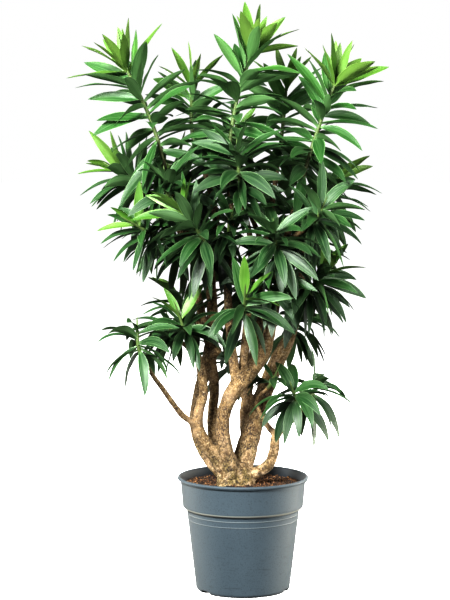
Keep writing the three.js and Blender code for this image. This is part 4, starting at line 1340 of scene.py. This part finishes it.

# %% [markdown]
# ## Leaf finish
#
# The blades are satin: dark blue-green when old, clear green higher up, and bright lime in the newest tufts.
# Fine veins run from root to tip, the edge is a thin pale line, and the under face is a paler grey-green.
# The colour reads three numbers that every blade carries: one drawn at random, its age, and how deep it sits
# in the plant, which sets the painted shade that darkens the blades in the heart.


# %% Leaf green
def leaf_green(name, old, middle, new, edge):
    finish = Finish(name, roughness=0.4)
    across, along, under = finish.parts(finish.mark("blade_place"))[:3]
    chance, age, heart_shade = finish.parts(finish.mark("blade_tone"))[:3]
    side = finish.math("ABSOLUTE", across)
    stretched = (finish.both(across, 7.0), finish.both(along, 0.9), finish.both(chance, 37.0))
    vein_place = finish.node("ShaderNodeCombineXYZ", dict(enumerate(stretched))).outputs[0]
    streaks = finish.noise(vein_place, scale=1, detail=4, roughness=0.65)
    clouds = finish.noise(finish.place(), scale=24, detail=2)
    fine = finish.math("SINE", finish.both(across, 44.0))
    finish.ground(old, middle, finish.share(age, 0.0, 0.55, soft=False))
    finish.coat(new, finish.share(age, 0.55, 1.0, soft=False))
    lighter = finish.mix(0.5, finish.base, colour(edge))
    finish.coat(lighter, finish.share(streaks, 0.42, 0.66), 0.55)
    finish.coat(old, finish.share(clouds, 0.3, 0.7), 0.25)
    finish.coat(middle, finish.share(chance, 0.3, 1.0), 0.35)
    finish.coat(lighter, under, 0.45)
    finish.coat(edge, finish.share(side, 0.92, 0.97), 0.75)
    finish.coat(lighter, finish.share(side, 0.08, 0.02), 0.25)
    finish.coat(edge, finish.share(along, 0.12, 0.0), 0.4)
    # Blades deep in the heart of the plant are darkened: painted shade.
    finish.coat("07160a", heart_shade)
    finish.shader.inputs["Specular IOR Level"].default_value = 0.6
    normal = finish.relief(streaks, 0.0012, 0.5)
    normal = finish.relief(fine, 0.00012, 0.5, over=normal)
    return finish.done(normal, finish.rough(streaks, 0.25, 0.33))


dark_leaf = leaf_green("dark_leaf", old="0e3613", middle="28581d", new="4a7a20", edge="8eb07c")
young_leaf = leaf_green("young_leaf", old="285814", middle="3f6c1a", new="587a2f", edge="8aa25f")
print("two leaf greens ready")


# %% Green stem
def green_stem():
    """Pale yellow-green near the tip and browner below, with darker patches."""
    finish = Finish("green_stem", roughness=0.5)
    along = finish.parts(finish.mark("blade_place"))[1]
    age = finish.parts(finish.mark("blade_tone"))[1]
    patches = finish.noise(finish.place(), scale=160, detail=3)
    finish.ground("463d26", "4a5c2e", finish.share(along, 0.0, 0.5))
    finish.coat("5c6f40", age)
    finish.coat("3f4a26", finish.share(patches, 0.5, 0.7), 0.5)
    return finish.done(finish.relief(patches, 0.0006, 0.5))


stem_green = green_stem()
print("stem green ready")

# %% Leafy pieces
LOOKS_SEED = 301
HEART_RADIUS, HEART_TOP = 300, 1080  # the middle of the plant that gets painted shade, in millimetres
HEART_SHADE, TIP_LIGHTER = 0.95, 0.8  # how much painted shade its lowest blades get, and how much less a shoot's tip gets
TUFT_AGE, SHOOT_AGE = (0.35, 0.65), 0.6  # from old at 0 to new at 1: the least and the span, and the most
STEM_AGE, SPEAR_AGE, TUFT_STEM_AGE = 0.2, 0.8, 0.9
# How much younger than the rest the blades of some shoots look.
PALE_SHOOTS = {"back_left_top": 0.35, "back_right_top": 0.35, "pale_left": 0.25, "left_top": 0.3,
               "crown": 0.25, "right_top": 0.3, "right_mid": 0.15}


def blade_parts(shoot, tuft, draw):
    """The blades of a shoot or of its tuft, lighter towards the tip: younger there, with less of the painted
    shade of the heart.
    """
    parts = []
    for blade in blades[shoot["name"], tuft]:
        points, faces, places = blade_skin(blade, draw)
        chance = draw()
        age = PALE_SHOOTS.get(shoot["name"], 0)
        age += TUFT_AGE[0] + TUFT_AGE[1] * draw() if tuft else SHOOT_AGE * blade["share"] ** 3 * draw()
        x, y, z = blade["root"]
        # Painted shade for blades low in the heart of the plant, less towards the shoot's tip.
        inward = max(0, 1 - math.hypot(x, y) / HEART_RADIUS)
        heart_shade = HEART_SHADE * (1 - TIP_LIGHTER * blade["share"]) * inward if z < HEART_TOP else 0
        parts.append((points, faces, places, (chance, min(1, age), heart_shade), 0))
    return parts


def dress(piece, node, leaf):
    piece.data.materials.append(leaf)
    piece.data.materials.append(stem_green)
    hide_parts(node)
    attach(piece, "root")


for owner, shoot in enumerate(SHOOTS):
    draw = drawer(owner + LOOKS_SEED)
    line, name = shoot_line(shoot), shoot["name"]
    stem = stem_part(ringed_stem(line, SHOOT_RADIUS["base"], SHOOT_RADIUS["tip"]), STEM_AGE)
    parts = [stem, *blade_parts(shoot, False, draw)]
    if not shoot["young"]:
        parts.append(stem_part(spear(line, SPEAR_LENGTH[False]), SPEAR_AGE))
    dress(leafy_piece(f"blades_{name}", parts), f"leaves_{name}", dark_leaf)
    if shoot["young"]:
        line = tuft_line(shoot)
        bud = ringed_stem(line, SHOOT_RADIUS["tip"], SHOOT_RADIUS["tuft"])
        shapes = [bud, spear(line, SPEAR_LENGTH[True])]
        parts = [stem_part(shape, TUFT_STEM_AGE) for shape in shapes] + blade_parts(shoot, True, draw)
        dress(leafy_piece(f"tuft_{name}", parts), f"young_{name}", young_leaf)
